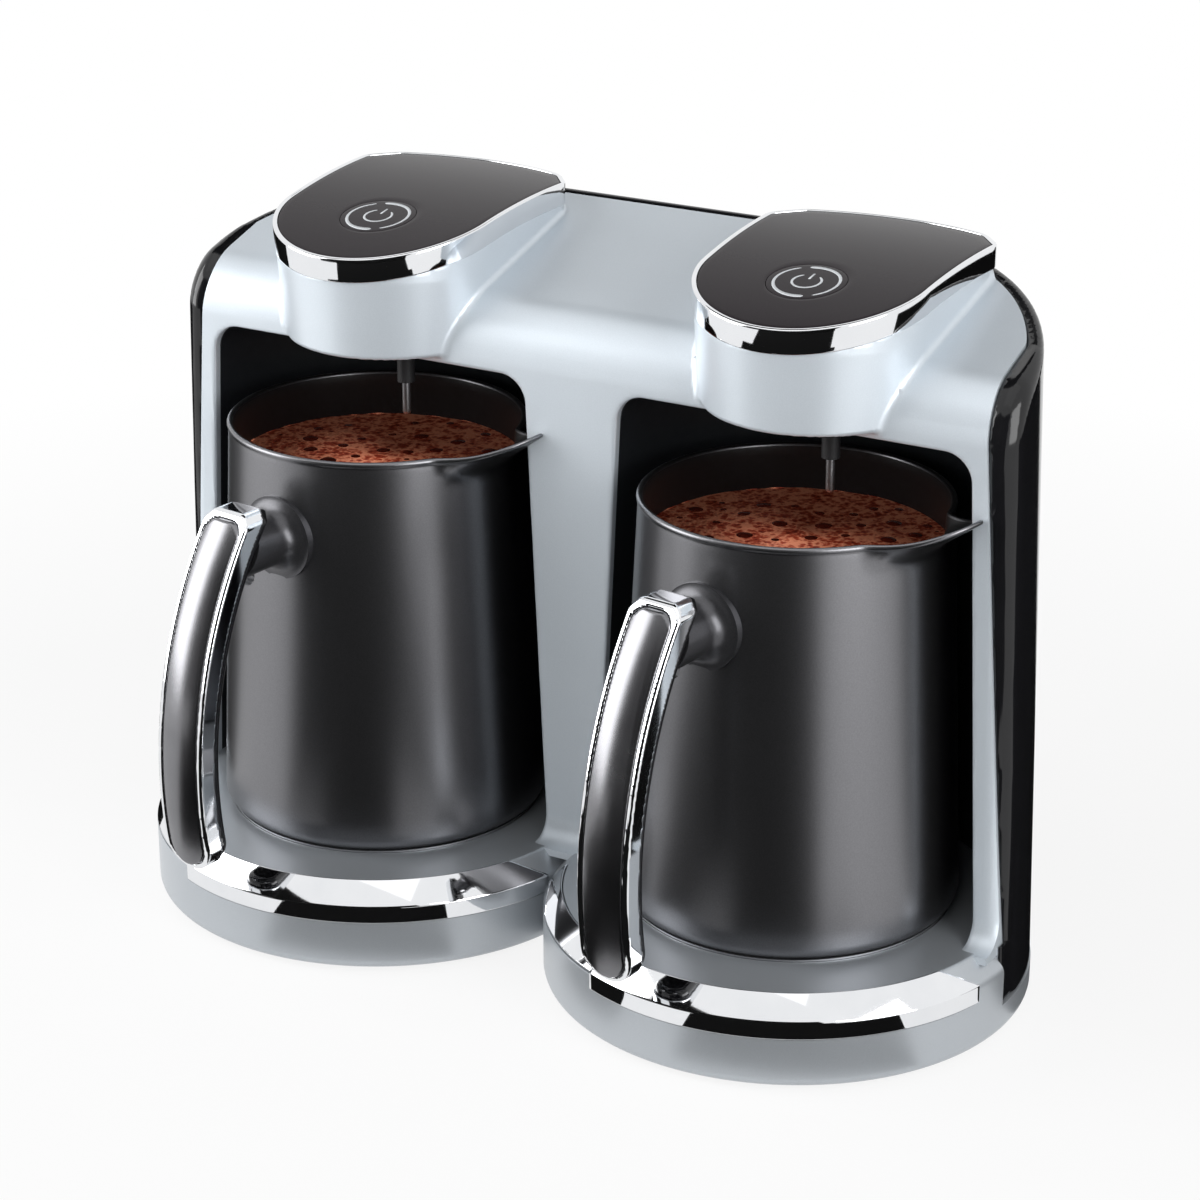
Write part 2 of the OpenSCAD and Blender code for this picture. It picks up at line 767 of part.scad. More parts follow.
module bar(inset, d1, d2) intersection() {
    bow(d1, d2);
    rotate([90, 0, 0]) linear_extrude(reach + 10) handle_outline(inset);
}

module neck_screw_form() translate([0, bow_y, bow_z]) rotate([90 - neck_angle, 0, 0]) {
        translate([0, 0, handle_bow_r - frame_t - neck_head_t]) cylinder(h = neck_head_t, r = neck_head_r);
        translate([0, 0, handle_bow_r - handle_t - neck_screw_l])
            cylinder(h = neck_screw_l + handle_t - frame_t - neck_head_t, r = neck_screw_r);
    }

module neck_screw(side) color(steel) at_pot(side) neck_screw_form();

module handle_frame(side) color(chrome) at_pot(side) difference() {
    bar(0, 0, frame_t);
    bar(inlay_edge, -1, inlay_t);
}

module handle_inlay(side) color(gloss_black) at_pot(side) bar(inlay_edge, 0, inlay_t);

module handle_grip(side) color(gloss_black) at_pot(side) difference() {
    bar(grip_inset, frame_t, handle_t);
    neck_screw_form();
}

// ---------------------------------------------------------------- nodes

front_shell();
rear_housing();
base_shell();
bottom_plate();
rubber_feet();
base_screws();
cord_gland();
terminal_block();
alcove_liner(left);  // alcove_liner_left
alcove_liner(right);  // alcove_liner_right
heater_plate(left);  // heater_plate_left
heater_plate(right);  // heater_plate_right
heating_element(left);  // heating_element_left
heating_element(right);  // heating_element_right
thermostat(left);  // thermostat_left
thermostat(right);  // thermostat_right
base_trim(left);  // base_trim_left
base_trim(right);  // base_trim_right
head_rim(left);  // head_rim_left
head_rim(right);  // head_rim_right
top_panel(left);  // top_panel_left
top_panel(right);  // top_panel_right
power_button(left);  // power_button_left
power_button(right);  // power_button_right
control_board(left);  // control_board_left
control_board(right);  // control_board_right
push_switch(left);  // push_switch_left
push_switch(right);  // push_switch_right
sensor_sleeve(left);  // sensor_sleeve_left
sensor_sleeve(right);  // sensor_sleeve_right
sensor_rod(left);  // sensor_rod_left
sensor_rod(right);  // sensor_rod_right
pot_body(left);  // pot_body_left
pot_body(right);  // pot_body_right
handle_neck(left);  // handle_neck_left
handle_neck(right);  // handle_neck_right
neck_screw(left);  // neck_screw_left
neck_screw(right);  // neck_screw_right
handle_frame(left);  // handle_frame_left
handle_frame(right);  // handle_frame_right
handle_inlay(left);  // handle_inlay_left
handle_inlay(right);  // handle_inlay_right
handle_grip(left);  // handle_grip_left
handle_grip(right);  // handle_grip_right
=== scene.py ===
import math

import bpy
import numpy as np
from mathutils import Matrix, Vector


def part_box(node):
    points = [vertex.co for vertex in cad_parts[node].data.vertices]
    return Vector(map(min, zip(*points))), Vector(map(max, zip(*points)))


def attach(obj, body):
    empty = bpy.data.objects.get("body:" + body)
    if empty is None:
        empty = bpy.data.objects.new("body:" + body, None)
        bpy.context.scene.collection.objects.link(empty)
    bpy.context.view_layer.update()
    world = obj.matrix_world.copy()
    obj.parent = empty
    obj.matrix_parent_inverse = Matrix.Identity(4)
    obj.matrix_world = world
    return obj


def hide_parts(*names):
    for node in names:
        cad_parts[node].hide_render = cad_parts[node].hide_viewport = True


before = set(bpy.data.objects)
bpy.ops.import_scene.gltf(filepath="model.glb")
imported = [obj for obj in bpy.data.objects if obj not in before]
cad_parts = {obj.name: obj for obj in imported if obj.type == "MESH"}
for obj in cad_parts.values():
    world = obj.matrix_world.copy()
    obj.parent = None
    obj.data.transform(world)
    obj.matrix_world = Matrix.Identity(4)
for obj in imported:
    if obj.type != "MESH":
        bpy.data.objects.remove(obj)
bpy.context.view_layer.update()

# ---------------------- camera
# The camera stands to the right of the machine and a little above it, and
# looks at the middle of the front.
MM = 0.001
FRAME_PX = 1200
FOCAL_PX = 3248.6
SENSOR_W = 36
AZIMUTH, ELEVATION = math.radians(29.66), math.radians(21.63)
DISTANCE = 838.1 * MM
LOOK_X, LOOK_Z = 5.9 * MM, 93.2 * MM

# A station is a platform with its pot and head. This is where their axes stand.
low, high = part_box("heater_plate_left")
STATION_X = abs(low.x + high.x) / 2
STATION_Y = (low.y + high.y) / 2

target = Vector((LOOK_X, STATION_Y, LOOK_Z))
away = Vector((math.cos(ELEVATION) * math.sin(AZIMUTH), -math.cos(ELEVATION) * math.cos(AZIMUTH),
               math.sin(ELEVATION)))
camera = bpy.data.objects.new("camera", bpy.data.cameras.new("camera"))
camera.data.sensor_width = SENSOR_W
camera.data.lens = SENSOR_W * FOCAL_PX / FRAME_PX
camera.data.clip_start = 10 * MM
camera.location = target + away * DISTANCE
camera.rotation_euler = (-away).to_track_quat("-Z", "Y").to_euler()
bpy.context.scene.collection.objects.link(camera)
bpy.context.scene.camera = camera
bpy.context.scene.view_settings.view_transform = "Standard"


# ---------------------- front shell
# The front shell is one moulding of silver-grey plastic: the flat face with
# the two alcove openings, the sloping top, and the two heads that overhang
# the pots. Everything on it runs together in soft fillets.
PITCH = 2 * STATION_X
BASE_R = 63 * MM                        # round platforms
CASING_TOP_R = 58 * MM                  # casing at its top, about a station's axis
FACE_Y = 5 * MM                         # flat face in front of the stations' axes
PLATFORM_Z = 25 * MM
CEILING_Z = 151.5 * MM                  # alcoves' ceiling
HEAD_FLOOR_Z = CEILING_Z + 2 * MM
TOP_SLOPE = math.radians(16.7)
TOP_FRONT_Z = CEILING_Z + 14.5 * MM
SHOULDER_R, EDGE_R, BACK_EDGE_R = 12 * MM, 6 * MM, 2.6 * MM
EDGE_BLEND = 25 * MM                    # from the front edge's radius to the back edge's
SOFT_R, FINE_R = 0.8 * MM, 0.3 * MM     # small edges
SKIN = 2.5 * MM
ALCOVE_TOP_R, ALCOVE_BASE_R, ALCOVE_EDGE_R = 48 * MM, 54 * MM, 7 * MM
CASING_TOP_Z = TOP_FRONT_Z + math.tan(TOP_SLOPE) * (CASING_TOP_R + FACE_Y)
CASING_TAPER = (CASING_TOP_R - BASE_R) / CASING_TOP_Z


def smooth_max(a, b, r):
    """Where both distances meet, the edge is rounded to the radius r."""
    return np.minimum(np.maximum(a, b), -r) + np.hypot(np.maximum(a + r, 0), np.maximum(b + r, 0))


def smooth_min(a, b, r):
    """Where both distances meet, the corner is filled to the radius r."""
    return np.maximum(np.minimum(a, b), r) - np.hypot(np.maximum(r - a, 0), np.maximum(r - b, 0))


def smooth_step(t):
    """Runs softly from 0 to 1 as t does."""
    t = np.clip(t, 0, 1)
    return t * t * (3 - 2 * t)


def slope_of(distance, points, step=0.02 * MM):
    """The direction in which a distance grows, at the points."""
    slope = np.empty_like(points)
    for axis in range(3):
        move = np.zeros(3)
        move[axis] = step
        slope[:, axis] = (distance(*(points + move).T) - distance(*(points - move).T)) / (2 * step)
    return slope


def unit(directions):
    """The same directions, each one long."""
    return directions / (np.linalg.norm(directions, axis=1)[:, None] + 1e-15)


def new_object(name, form, across=0, up=0, turn=0):
    """An object of a form drawn about a station's axis, turned and moved to its place."""
    points, faces, corner_normals = form
    spin = np.array([[math.cos(turn), math.sin(turn), 0], [-math.sin(turn), math.cos(turn), 0], [0, 0, 1]])
    points = points @ spin + (across, STATION_Y, up)
    mesh = bpy.data.meshes.new(name)
    mesh.from_pydata([tuple(p) for p in points], [], [tuple(f) for f in faces])
    mesh.shade_smooth()
    if corner_normals is not None:
        mesh.normals_split_custom_set([tuple(n) for n in corner_normals @ spin])
    obj = bpy.data.objects.new(name, mesh)
    bpy.context.scene.collection.objects.link(obj)
    return obj


# Planes in a cell that lean apart less than LEAST_LEAN of the most count as one.
# A point may leave its cell by the share STRAY of it, and then slide on to SLIDE.
HALVINGS, LEAST_LEAN, STRAY, SLIDE = 9, 0.06, 0.1, 0.2
SHADE_INWARD, SHADE_MATCH = 0.25, 0.4


def moulded(distance, low, high, cell):
    """A closed mesh of the surface on which a distance function is zero.

    Each grid cell that the surface crosses gets one point, on the planes that
    touch the surface where it crosses the cell's edges, so that sharp edges
    stay sharp. Each crossed grid edge gets one four-sided face."""
    axes = [np.arange(a - 1.6 * cell, b + 2.6 * cell, cell) for a, b in zip(low, high)]
    value = distance(*np.meshgrid(*axes, indexing="ij"))
    cells = [n - 1 for n in value.shape]
    crossings, rings = [], []
    for axis in range(3):
        lower = [slice(None)] * 3
        upper = [slice(None)] * 3
        lower[axis], upper[axis] = slice(None, -1), slice(1, None)
        inside = value[tuple(lower)] < 0
        index = np.argwhere(inside != (value[tuple(upper)] < 0))
        inside = inside[tuple(index.T)]
        p = np.stack([axes[k][index[:, k]] for k in range(3)], 1)
        step = cell / 2
        for _ in range(HALVINGS):
            p[:, axis] += step
            p[:, axis] -= step * ((distance(*p.T) < 0) != inside)
            step /= 2
        ring = []
        for du, dv in ((1, 1), (0, 1), (0, 0), (1, 0)):
            near = index.copy()
            near[:, (axis + 1) % 3] -= du
            near[:, (axis + 2) % 3] -= dv
            ring.append(np.ravel_multi_index(near.T, cells))
        ring = np.stack(ring, 1)
        ring[~inside] = ring[~inside][:, ::-1]
        crossings.append(p)
        rings.append(ring)
    used, faces = np.unique(np.concatenate(rings), return_inverse=True)
    faces = faces.reshape(-1, 4)
    crossings = np.concatenate(crossings)
    normal = unit(slope_of(distance, crossings)).repeat(4, axis=0)
    point = crossings.repeat(4, axis=0)
    owner = faces.ravel()

    def gathered(amount):
        return np.bincount(owner, amount, len(used))

    middle = np.stack([gathered(point[:, k]) for k in range(3)], 1) / gathered(None)[:, None]
    reach = (normal * (point - middle[owner])).sum(1)
    planes = np.stack([[gathered(normal[:, i] * normal[:, j]) for i in range(3)] for j in range(3)])
    pull = np.stack([gathered(normal[:, i] * reach) for i in range(3)], 1)
    size, way = np.linalg.eigh(planes.transpose(2, 0, 1))
    share = np.where(size > LEAST_LEAN * size[:, 2:], 1 / np.maximum(size, 1e-9), 0)
    points = middle + np.einsum("nij,nj,nkj,nk->ni", way, share, way, pull)
    corner = np.stack([axes[k][n] for k, n in enumerate(np.unravel_index(used, cells))], 1)
    points = np.clip(points, corner - STRAY * cell, corner + (1 + STRAY) * cell)
    for _ in range(2):
        slope = slope_of(distance, points)
        away = distance(*points.T) / ((slope ** 2).sum(1) + 1e-9)
        points = np.clip(points - slope * away[:, None], corner - SLIDE * cell, corner + (1 + SLIDE) * cell)

    # a corner's shading follows the surface a little way into its own face
    centre = points[faces].mean(1)
    inward = points[faces] * (1 - SHADE_INWARD) + centre[:, None] * SHADE_INWARD
    shading = unit(slope_of(distance, inward.reshape(-1, 3)))
    across = points[faces[:, 2]] - points[faces[:, 0]], points[faces[:, 3]] - points[faces[:, 1]]
    flat = unit(np.cross(*across)).repeat(4, axis=0)
    shading = np.where((shading * flat).sum(1)[:, None] > SHADE_MATCH, shading, flat)
    return points, faces, shading


def casing_side(x, y, z):
    """Distance to the tapered sides and back, round about each station."""
    out = np.hypot(np.maximum(abs(x) - PITCH / 2, 0), y)
    return (out - BASE_R - CASING_TAPER * z) * math.cos(math.atan(CASING_TAPER))


def casing_top(y, z):
    """Distance to the sloping top."""
    return (z - TOP_FRONT_Z - math.tan(TOP_SLOPE) * (y + FACE_Y)) * math.cos(TOP_SLOPE)


def casing(x, y, z):
    """Distance to the whole casing, of which the edges grow finer towards the back."""
    front = smooth_max(-y - FACE_Y, casing_top(y, z), SHOULDER_R)
    edge_r = EDGE_R + (BACK_EDGE_R - EDGE_R) * smooth_step((y + FACE_Y) / EDGE_BLEND)
    return smooth_max(front, casing_side(x, y, z), edge_r)


# The front shell narrows upwards and stops short of the back, so that the
# rear housing shows around it as a dark rim.
RIM_FOOT, RIM_TOP, RIM_BACK = 0.7 * MM, 8.3 * MM, 4.2 * MM
FACE_DEPTH = 5 * MM


def shell_zone(x, y, z):
    """Distance to the zone that the front shell takes of the casing."""
    foot_w = PITCH / 2 + BASE_R - RIM_FOOT
    top_w = PITCH / 2 + CASING_TOP_R - RIM_TOP
    side = abs(x) - foot_w - (top_w - foot_w) * z / CASING_TOP_Z
    behind = casing_side(x, y, z) + RIM_BACK
    return np.maximum(side, np.minimum(behind, y - FACE_DEPTH + FACE_Y))


# A head seen from above has a round nose, straight sides and cut corners.
NOSE_R, NOSE_Y, HEAD_BACK_W = 30.3 * MM, 8.2 * MM, 31.7 * MM
HEAD_H, HEAD_TILT, HEAD_CROWN = 37.3 * MM, math.radians(6.4), 3 * MM
BAND_H, BAND_T, BAND_LIP = 6 * MM, 1.3 * MM, 0.8 * MM
NOSE_DRAFT, DRAFT_RUN, DRAFT_END = 1.8 * MM, 20 * MM, NOSE_Y + 4 * MM
CORNER_R, FLOOR_EDGE_R = 1.5 * MM, 1.2 * MM
HEAD_BACK_R = CASING_TOP_R + 0.6 * MM
CORNER_W = 0.8 * HEAD_BACK_W
CORNER_Y = math.sqrt(HEAD_BACK_R ** 2 - CORNER_W ** 2)
SIDE_Y = CORNER_Y - 1.28 * (HEAD_BACK_W - CORNER_W)
NOSE_TIP = NOSE_R - NOSE_Y

# Its top is part of a cylinder that lies along X, over a tilted chord.
CHORD_RUN = CORNER_Y + NOSE_TIP
CROWN_R = (CHORD_RUN / math.cos(HEAD_TILT) / 2) ** 2 / (2 * HEAD_CROWN) + HEAD_CROWN / 2
CROWN_Y = (CORNER_Y - NOSE_TIP) / 2 + math.sin(HEAD_TILT) * (CROWN_R - HEAD_CROWN)
CROWN_Z = (CEILING_Z + HEAD_H - math.tan(HEAD_TILT) * CHORD_RUN / 2
           - math.cos(HEAD_TILT) * (CROWN_R - HEAD_CROWN))


def crown_z(y, depth=0):
    """Height of the head's top at y, or of a surface at a depth below it."""
    return CROWN_Z + np.sqrt((CROWN_R - depth) ** 2 - (y - CROWN_Y) ** 2)


def head_plan(x, y):
    """Distance to a head's outline, seen from above; x is across the head."""
    x = abs(x)
    lean = math.atan((HEAD_BACK_W - NOSE_R) / (SIDE_Y - NOSE_Y))
    nose = np.hypot(x, y - NOSE_Y) - NOSE_R
    side = (x - NOSE_R - (y - NOSE_Y) * math.tan(lean)) * math.cos(lean)
    turn = math.atan2(SIDE_Y - CORNER_Y, HEAD_BACK_W - CORNER_W)
    corner = -(x - CORNER_W) * math.sin(turn) + (y - CORNER_Y) * math.cos(turn)
    back = np.hypot(x, y) - HEAD_BACK_R
    cut = smooth_max(smooth_max(side, corner, CORNER_R), back, CORNER_R)
    return np.where(y < NOSE_Y, nose, cut)


NOSE_BAND_Z = crown_z(-NOSE_TIP, BAND_H)


def head(x, y, z, inset=0):
    """Distance to a head below its chrome band. Its nose draws in downwards."""
    fall = np.clip((NOSE_BAND_Z - z) / (NOSE_BAND_Z - HEAD_FLOOR_Z), 0, 1)
    draft = NOSE_DRAFT * fall * np.clip((DRAFT_END - y) / DRAFT_RUN, 0, 1)
    wall = head_plan(x, y) + BAND_LIP + draft + inset
    top = np.hypot(y - CROWN_Y, z - CROWN_Z) - (CROWN_R - BAND_H)
    return smooth_max(smooth_max(wall, HEAD_FLOOR_Z + inset - z, FLOOR_EDGE_R), top, FINE_R)


def alcove(x, y, z):
    """Distance to an alcove's space; x is measured from the station's axis."""
    taper = (ALCOVE_BASE_R - ALCOVE_TOP_R) / (CEILING_Z - PLATFORM_Z)
    wall = np.hypot(x, y) - ALCOVE_TOP_R - taper * (CEILING_Z - z)
    return smooth_max(wall, z - CEILING_Z, ALCOVE_EDGE_R)


HEAD_FILLET, FACE_FILLET, HOLLOW_FILLET = 1.6 * MM, 7 * MM, 2 * MM
FOOT_DEPTH, FILLET_DIP = 2 * MM, 0.1 * MM


def front_shell_form(x, y, z):
    from_axis = abs(x) - PITCH / 2
    # the face runs into the platform in a fillet, whose edge dips just under it
    footed = smooth_min(casing(x, y, z), z - PLATFORM_Z + FILLET_DIP, FACE_FILLET)
    body = np.maximum(np.maximum(footed, shell_zone(x, y, z)), -y - FACE_Y - FACE_FILLET)
    overhang = np.minimum(y + FACE_Y - SKIN, -casing_top(y, z) - SKIN)
    outside = smooth_min(body, np.maximum(head(from_axis, y, z), overhang), HEAD_FILLET)
    open_face = smooth_max(outside, -alcove(from_axis, y, z), SOFT_R)
    hollow = smooth_min(casing(x, y, z) + SKIN, head(from_axis, y, z, SKIN), HOLLOW_FILLET)
    return np.maximum(np.maximum(open_face, -hollow), PLATFORM_Z - FOOT_DEPTH - z)


CELL = 1.1 * MM
HALF_W = PITCH / 2 + BASE_R
NOSE_LIMIT, TOP_LIMIT = 25 * MM, 190 * MM       # just past the noses and above the heads
front_shell = new_object("front_shell_moulding", moulded(
    front_shell_form, (-HALF_W, -NOSE_LIMIT, PLATFORM_Z - FOOT_DEPTH), (HALF_W, BASE_R, TOP_LIMIT), CELL))


class Value:
    """A socket in a tree of nodes. Maths on it adds Math nodes."""

    def __init__(self, nodes, socket):
        self.nodes, self.socket = nodes, socket

    def maths(self, operation, *numbers):
        return self.nodes.node("ShaderNodeMath", {"operation": operation}, dict(enumerate(numbers)))

    def __add__(self, other):
        return self.maths("ADD", self, other)

    __radd__ = __add__

    def __sub__(self, other):
        return self.maths("SUBTRACT", self, other)

    def __rsub__(self, other):
        return self.maths("SUBTRACT", other, self)

    def __mul__(self, other):
        return self.maths("MULTIPLY", self, other)

    __rmul__ = __mul__


class Nodes:
    """A tree of shader nodes, of a material or of the world."""

    def __init__(self, tree):
        self.tree = tree

    def plug(self, socket, value):
        if isinstance(value, Value):
            self.tree.links.new(value.socket, socket)
        else:
            socket.default_value = (*value, 1) if socket.type == "RGBA" else value

    def node(self, kind, settings=None, inputs=None, output=0):
        """Adds a node of a kind: its settings first, then its sockets' values or links."""
        added = self.tree.nodes.new(kind)
        for key, value in (settings or {}).items():
            if key == "stops":
                ends = added.color_ramp.elements
                for k, (place, colour) in enumerate(value):
                    stop = ends[k] if k < len(ends) else ends.new(place)
                    stop.position, stop.color = place, (*colour, 1)
            else:
                setattr(added, key, value)
        for key, value in (inputs or {}).items():
            self.plug(added.inputs[key], value)
        return Value(self, added.outputs[output])

    def rays(self, *kinds):
        """1 for rays of these kinds, and 0 for others."""
        hits = [self.node("ShaderNodeLightPath", output="Is %s Ray" % kind) for kind in kinds]
        return sum(hits[1:], hits[0])


class Finish(Nodes):
    """The finish of a surface: a Principled shader and the nodes that feed it."""

    def __init__(self, name, **constants):
        self.material = bpy.data.materials.new(name)
        self.material.use_nodes = True
        super().__init__(self.material.node_tree)
        self.shader = self.tree.nodes["Principled BSDF"]
        self.feed(**constants)

    def feed(self, **inputs):
        """Sets or links the shader's own sockets; base_color stands for Base Color."""
        for key, value in inputs.items():
            self.plug(self.shader.inputs[key.replace("_", " ").title().replace("Ior", "IOR")], value)

    def place(self):
        """Where the shaded point is, in metres, on the piece at rest."""
        return self.node("ShaderNodeTexCoord", output="Object")

    def noise(self, size, detail=2, stretch=(1, 1, 1)):
        """Smooth noise about 0.5, whose features are about that size in metres."""
        where = self.node("ShaderNodeVectorMath", {"operation": "MULTIPLY"},
                          {0: self.place(), 1: stretch})
        return self.node("ShaderNodeTexNoise", {}, {"Vector": where, "Scale": 1 / size, "Detail": detail})

    def bump(self, height, depth):
        """Relief: a height of 1 stands proud by the depth, in metres."""
        self.feed(normal=self.node("ShaderNodeBump", {}, {"Height": height, "Distance": depth,
                                                          "Strength": 1.0}))


def shade(red, green, blue):
    """A colour given as its three display values from 0 to 255."""
    return tuple(((v / 255 + 0.055) / 1.055) ** 2.4 if v > 10 else v / 255 / 12.92
                 for v in (red, green, blue))


def mixed(finish, factor, a, b):
    return finish.node("ShaderNodeMix", {"data_type": "RGBA"}, {"Factor": factor, "A": a, "B": b}, output=2)


def tinted(finish, factor, tint, lift):
    """A colour that varies from a tint to one that is lighter by lift display steps."""
    return mixed(finish, factor, shade(*tint), shade(*(min(v + lift, 255) for v in tint)))


def silver_finish(name, tint, flake_share):
    """Silver-grey paint with fine metal flakes, under a satin lacquer."""
    paint = Finish(name, metallic=flake_share, coat_weight=0.15, coat_roughness=0.2)
    flakes = paint.noise(0.25 * MM, 1)
    clouds = paint.noise(30 * MM, 2)
    paint.feed(base_color=tinted(paint, flakes * 0.5 + clouds * 0.3, tint, 24),
               roughness=0.34 + flakes * 0.08)
    paint.bump(paint.noise(0.5 * MM, 2), 0.004 * MM)
    return paint.material


def dress(material, *pieces):
    """Gives a material to new pieces, and to the frame's own nodes by name."""
    for piece in pieces:
        if isinstance(piece, str):
            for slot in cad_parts[piece].material_slots:
                slot.material = material
        else:
            piece.data.materials.append(material)


def fit(piece, material, body, node=None):
    """Finishes a new piece and fixes it to a body, in the place of the frame's node."""
    dress(material, piece)
    if node:
        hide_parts(node)
    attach(piece, body)


silver_paint = silver_finish("silver_paint", (196, 204, 211), 0.38)
fit(front_shell, silver_paint, "machine", "front_shell")


# ---------------------- rear housing
# The back, the sides and the rim around the front shell are one moulding of
# polished black plastic. The rim lies a hair deeper beside the front shell,
# and the lower edge hangs over the base as a skirt.
RIM_W, RIM_DROP, RIM_EASE, RIM_R = 0.8 * MM, 0.5 * MM, 3.2 * MM, 0.6 * MM
SKIRT_Z, SKIRT_T, SKIRT_R, LAP = 9.5 * MM, 1.2 * MM, 0.5 * MM, 0.1 * MM
SEAM = 0.12 * MM                        # gap between two mouldings
GLAND_Z, GLAND_R = PLATFORM_Z + 12 * MM, 6 * MM


def with_low_rim(wall, zone):
    """The wall lies a little deeper beside the front shell, behind a soft edge."""
    return wall + RIM_DROP * smooth_step((RIM_W + RIM_EASE - zone) / RIM_EASE)


def rear_housing_form(x, y, z):
    from_axis = abs(x) - PITCH / 2
    zone = shell_zone(x, y, z)
    wall = casing(x, y, z)
    outside = smooth_max(with_low_rim(wall, zone), SEAM - zone, RIM_R)
    # the heads stand in gaps of the rim, but the housing's own wall goes on behind them
    around_heads = np.minimum(SEAM - head(from_axis, y, z), -casing_side(x, y, z) - SKIN - RIM_DROP)
    outside = smooth_max(outside, around_heads, FINE_R)
    shell = np.maximum(np.maximum(outside, -(wall + SKIN + RIM_DROP)), PLATFORM_Z - z)
    gland_hole = np.maximum(np.hypot(x, z - GLAND_Z) - GLAND_R, -y)
    return np.maximum(shell, -gland_hole)


def skirt_form(x, y, z):
    side = casing_side(x, y, z)
    hem = smooth_max(with_low_rim(side, shell_zone(x, y, z)), SKIRT_Z - z, SKIRT_R)
    skirt = smooth_max(hem, -y - FACE_Y + SEAM, SKIRT_R)
    return np.maximum(np.maximum(skirt, -(side + SKIRT_T)), z - PLATFORM_Z - LAP)


def joined(*forms):
    """Several forms as one."""
    points, faces, normals, start = [], [], [], 0
    for part_points, part_faces, part_normals in forms:
        points.append(part_points)
        faces += [tuple(i + start for i in face) for face in part_faces]
        normals.append(part_normals)
        start += len(part_points)
    return np.concatenate(points), faces, None if normals[0] is None else np.concatenate(normals)


rear_housing = new_object("rear_housing_moulding", joined(
    moulded(rear_housing_form, (-HALF_W, -FACE_Y, PLATFORM_Z), (HALF_W, BASE_R, TOP_LIMIT), CELL),
    moulded(skirt_form, (-HALF_W, -FACE_Y, SKIRT_Z), (HALF_W, BASE_R, PLATFORM_Z), CELL * 0.55)))


def gloss_black_finish(name, tint, coat):
    """Polished black plastic, with the slight waviness of a moulding."""
    gloss = Finish(name, specular_ior_level=0.35, coat_weight=coat, coat_roughness=0.03)
    wear = gloss.noise(7 * MM, 3)
    gloss.feed(base_color=tinted(gloss, wear, tint, 5), roughness=0.09 + wear * 0.05)
    gloss.bump(gloss.noise(0.4 * MM, 1), 0.001 * MM)
    return gloss.material


gloss_black = gloss_black_finish("gloss_black_plastic", (17, 17, 19), 0.12)
fit(rear_housing, gloss_black, "machine", "rear_housing")


# ---------------------- base shell
# Two round platforms in one silver-grey moulding. Its front edge is cut
# sloping where the chrome trim lies, and it stands on a sheet bottom plate.
FLOOR_GAP, FOOT_ROUND, PLATFORM_EDGE_R = 1.5 * MM, 2.5 * MM, 0.4 * MM
TRIM_Z, TRIM_DROP, TRIM_W, TRIM_T = 15 * MM, 5.4 * MM, 4.7 * MM, 1.3 * MM
PLATE_R, PLATE_GAP = 42 * MM, 0.2 * MM


def base_plan(x, y):
    """Distance to the outline of both platforms, seen from above."""
    across = np.where(y > 0, np.maximum(abs(x) - PITCH / 2, 0), abs(abs(x) - PITCH / 2))
    return np.hypot(across, y) - BASE_R


def trim_slope(out, z):
    """Distance to the sloping edge, for a distance out from the platform's round edge."""
    return (out * TRIM_DROP + (z - PLATFORM_Z + TRIM_DROP) * TRIM_W) / math.hypot(TRIM_DROP, TRIM_W)


def base_shell_form(x, y, z):
    plan = base_plan(x, y)
    wall = smooth_max(plan, FLOOR_GAP - z, FOOT_ROUND)
    sloped = smooth_max(wall, trim_slope(plan, z), SOFT_R)
    under_skirt = smooth_max(wall, casing_side(x, y, z) + SKIRT_T + SEAM, FINE_R)
    behind = np.where(z > SKIRT_Z - SEAM, under_skirt, wall)
    outside = smooth_max(np.where(y < -FACE_Y, sloped, behind), z - PLATFORM_Z, PLATFORM_EDGE_R)
    trimmed = np.maximum(outside, -trim_room(x, y, z))
    hollow = np.maximum(plan + SKIN, np.maximum(trim_slope(plan, z), z - PLATFORM_Z) + SKIN)
    heater_hole = np.hypot(abs(x) - PITCH / 2, y) - PLATE_R - PLATE_GAP
    return np.maximum(np.maximum(trimmed, -hollow), -heater_hole)


# The trim reaches from the valley between the platforms to the casing's side.
# On the left only its slope goes on, and the upright band stops in a fine gap.
TRIM_GAP, TRIM_PLAY = 0.35 * MM, 0.5 * MM
SLOPE_LEFT, BAND_LEFT = math.radians(-72), math.radians(-24)
TIP_RIGHT, TOP_RIGHT = math.radians(75), math.radians(66)


def trim_ends(out, x, y, left):
    """Distance past the ends of the trim's room, of which the right one is cut askew."""
    high = np.clip(-out / TRIM_W, 0, 1)
    right = TIP_RIGHT + (TOP_RIGHT - TIP_RIGHT) * high
    turn = np.arctan2(x, -y)
    return np.maximum(turn - right, left - turn) * BASE_R - TRIM_GAP


def trim_room(x, y, z):
    """The room that the trim takes in the base shell."""
    from_axis = np.where(x > 0, x - PITCH / 2, x + PITCH / 2)
    out = np.hypot(from_axis, y) - BASE_R
    deep = np.maximum(-TRIM_T - SEAM - np.maximum(trim_slope(out, z), out), TRIM_Z - SEAM - z)
    deep = np.maximum(deep, -TRIM_W - TRIM_PLAY - out)
    whole = np.maximum(deep, trim_ends(out, from_axis, y, BAND_LEFT))
    upper = np.maximum(deep, PLATFORM_Z - TRIM_DROP - TRIM_PLAY - z)
    upper = np.maximum(upper, trim_ends(out, from_axis, y, SLOPE_LEFT))
    return np.minimum(whole, upper)


base_shell = new_object("base_shell_moulding", moulded(
    base_shell_form, (-HALF_W, -BASE_R, FLOOR_GAP), (HALF_W, BASE_R, PLATFORM_Z), CELL * 0.7))
# The base shell's paint is a darker copy of the front shell's silver: painted shade on the low platforms,
# which get less light than the heads.
shaded_silver = silver_finish("silver_paint_painted_shade", (164, 169, 174), 0.6)
fit(base_shell, shaded_silver, "machine", "base_shell")


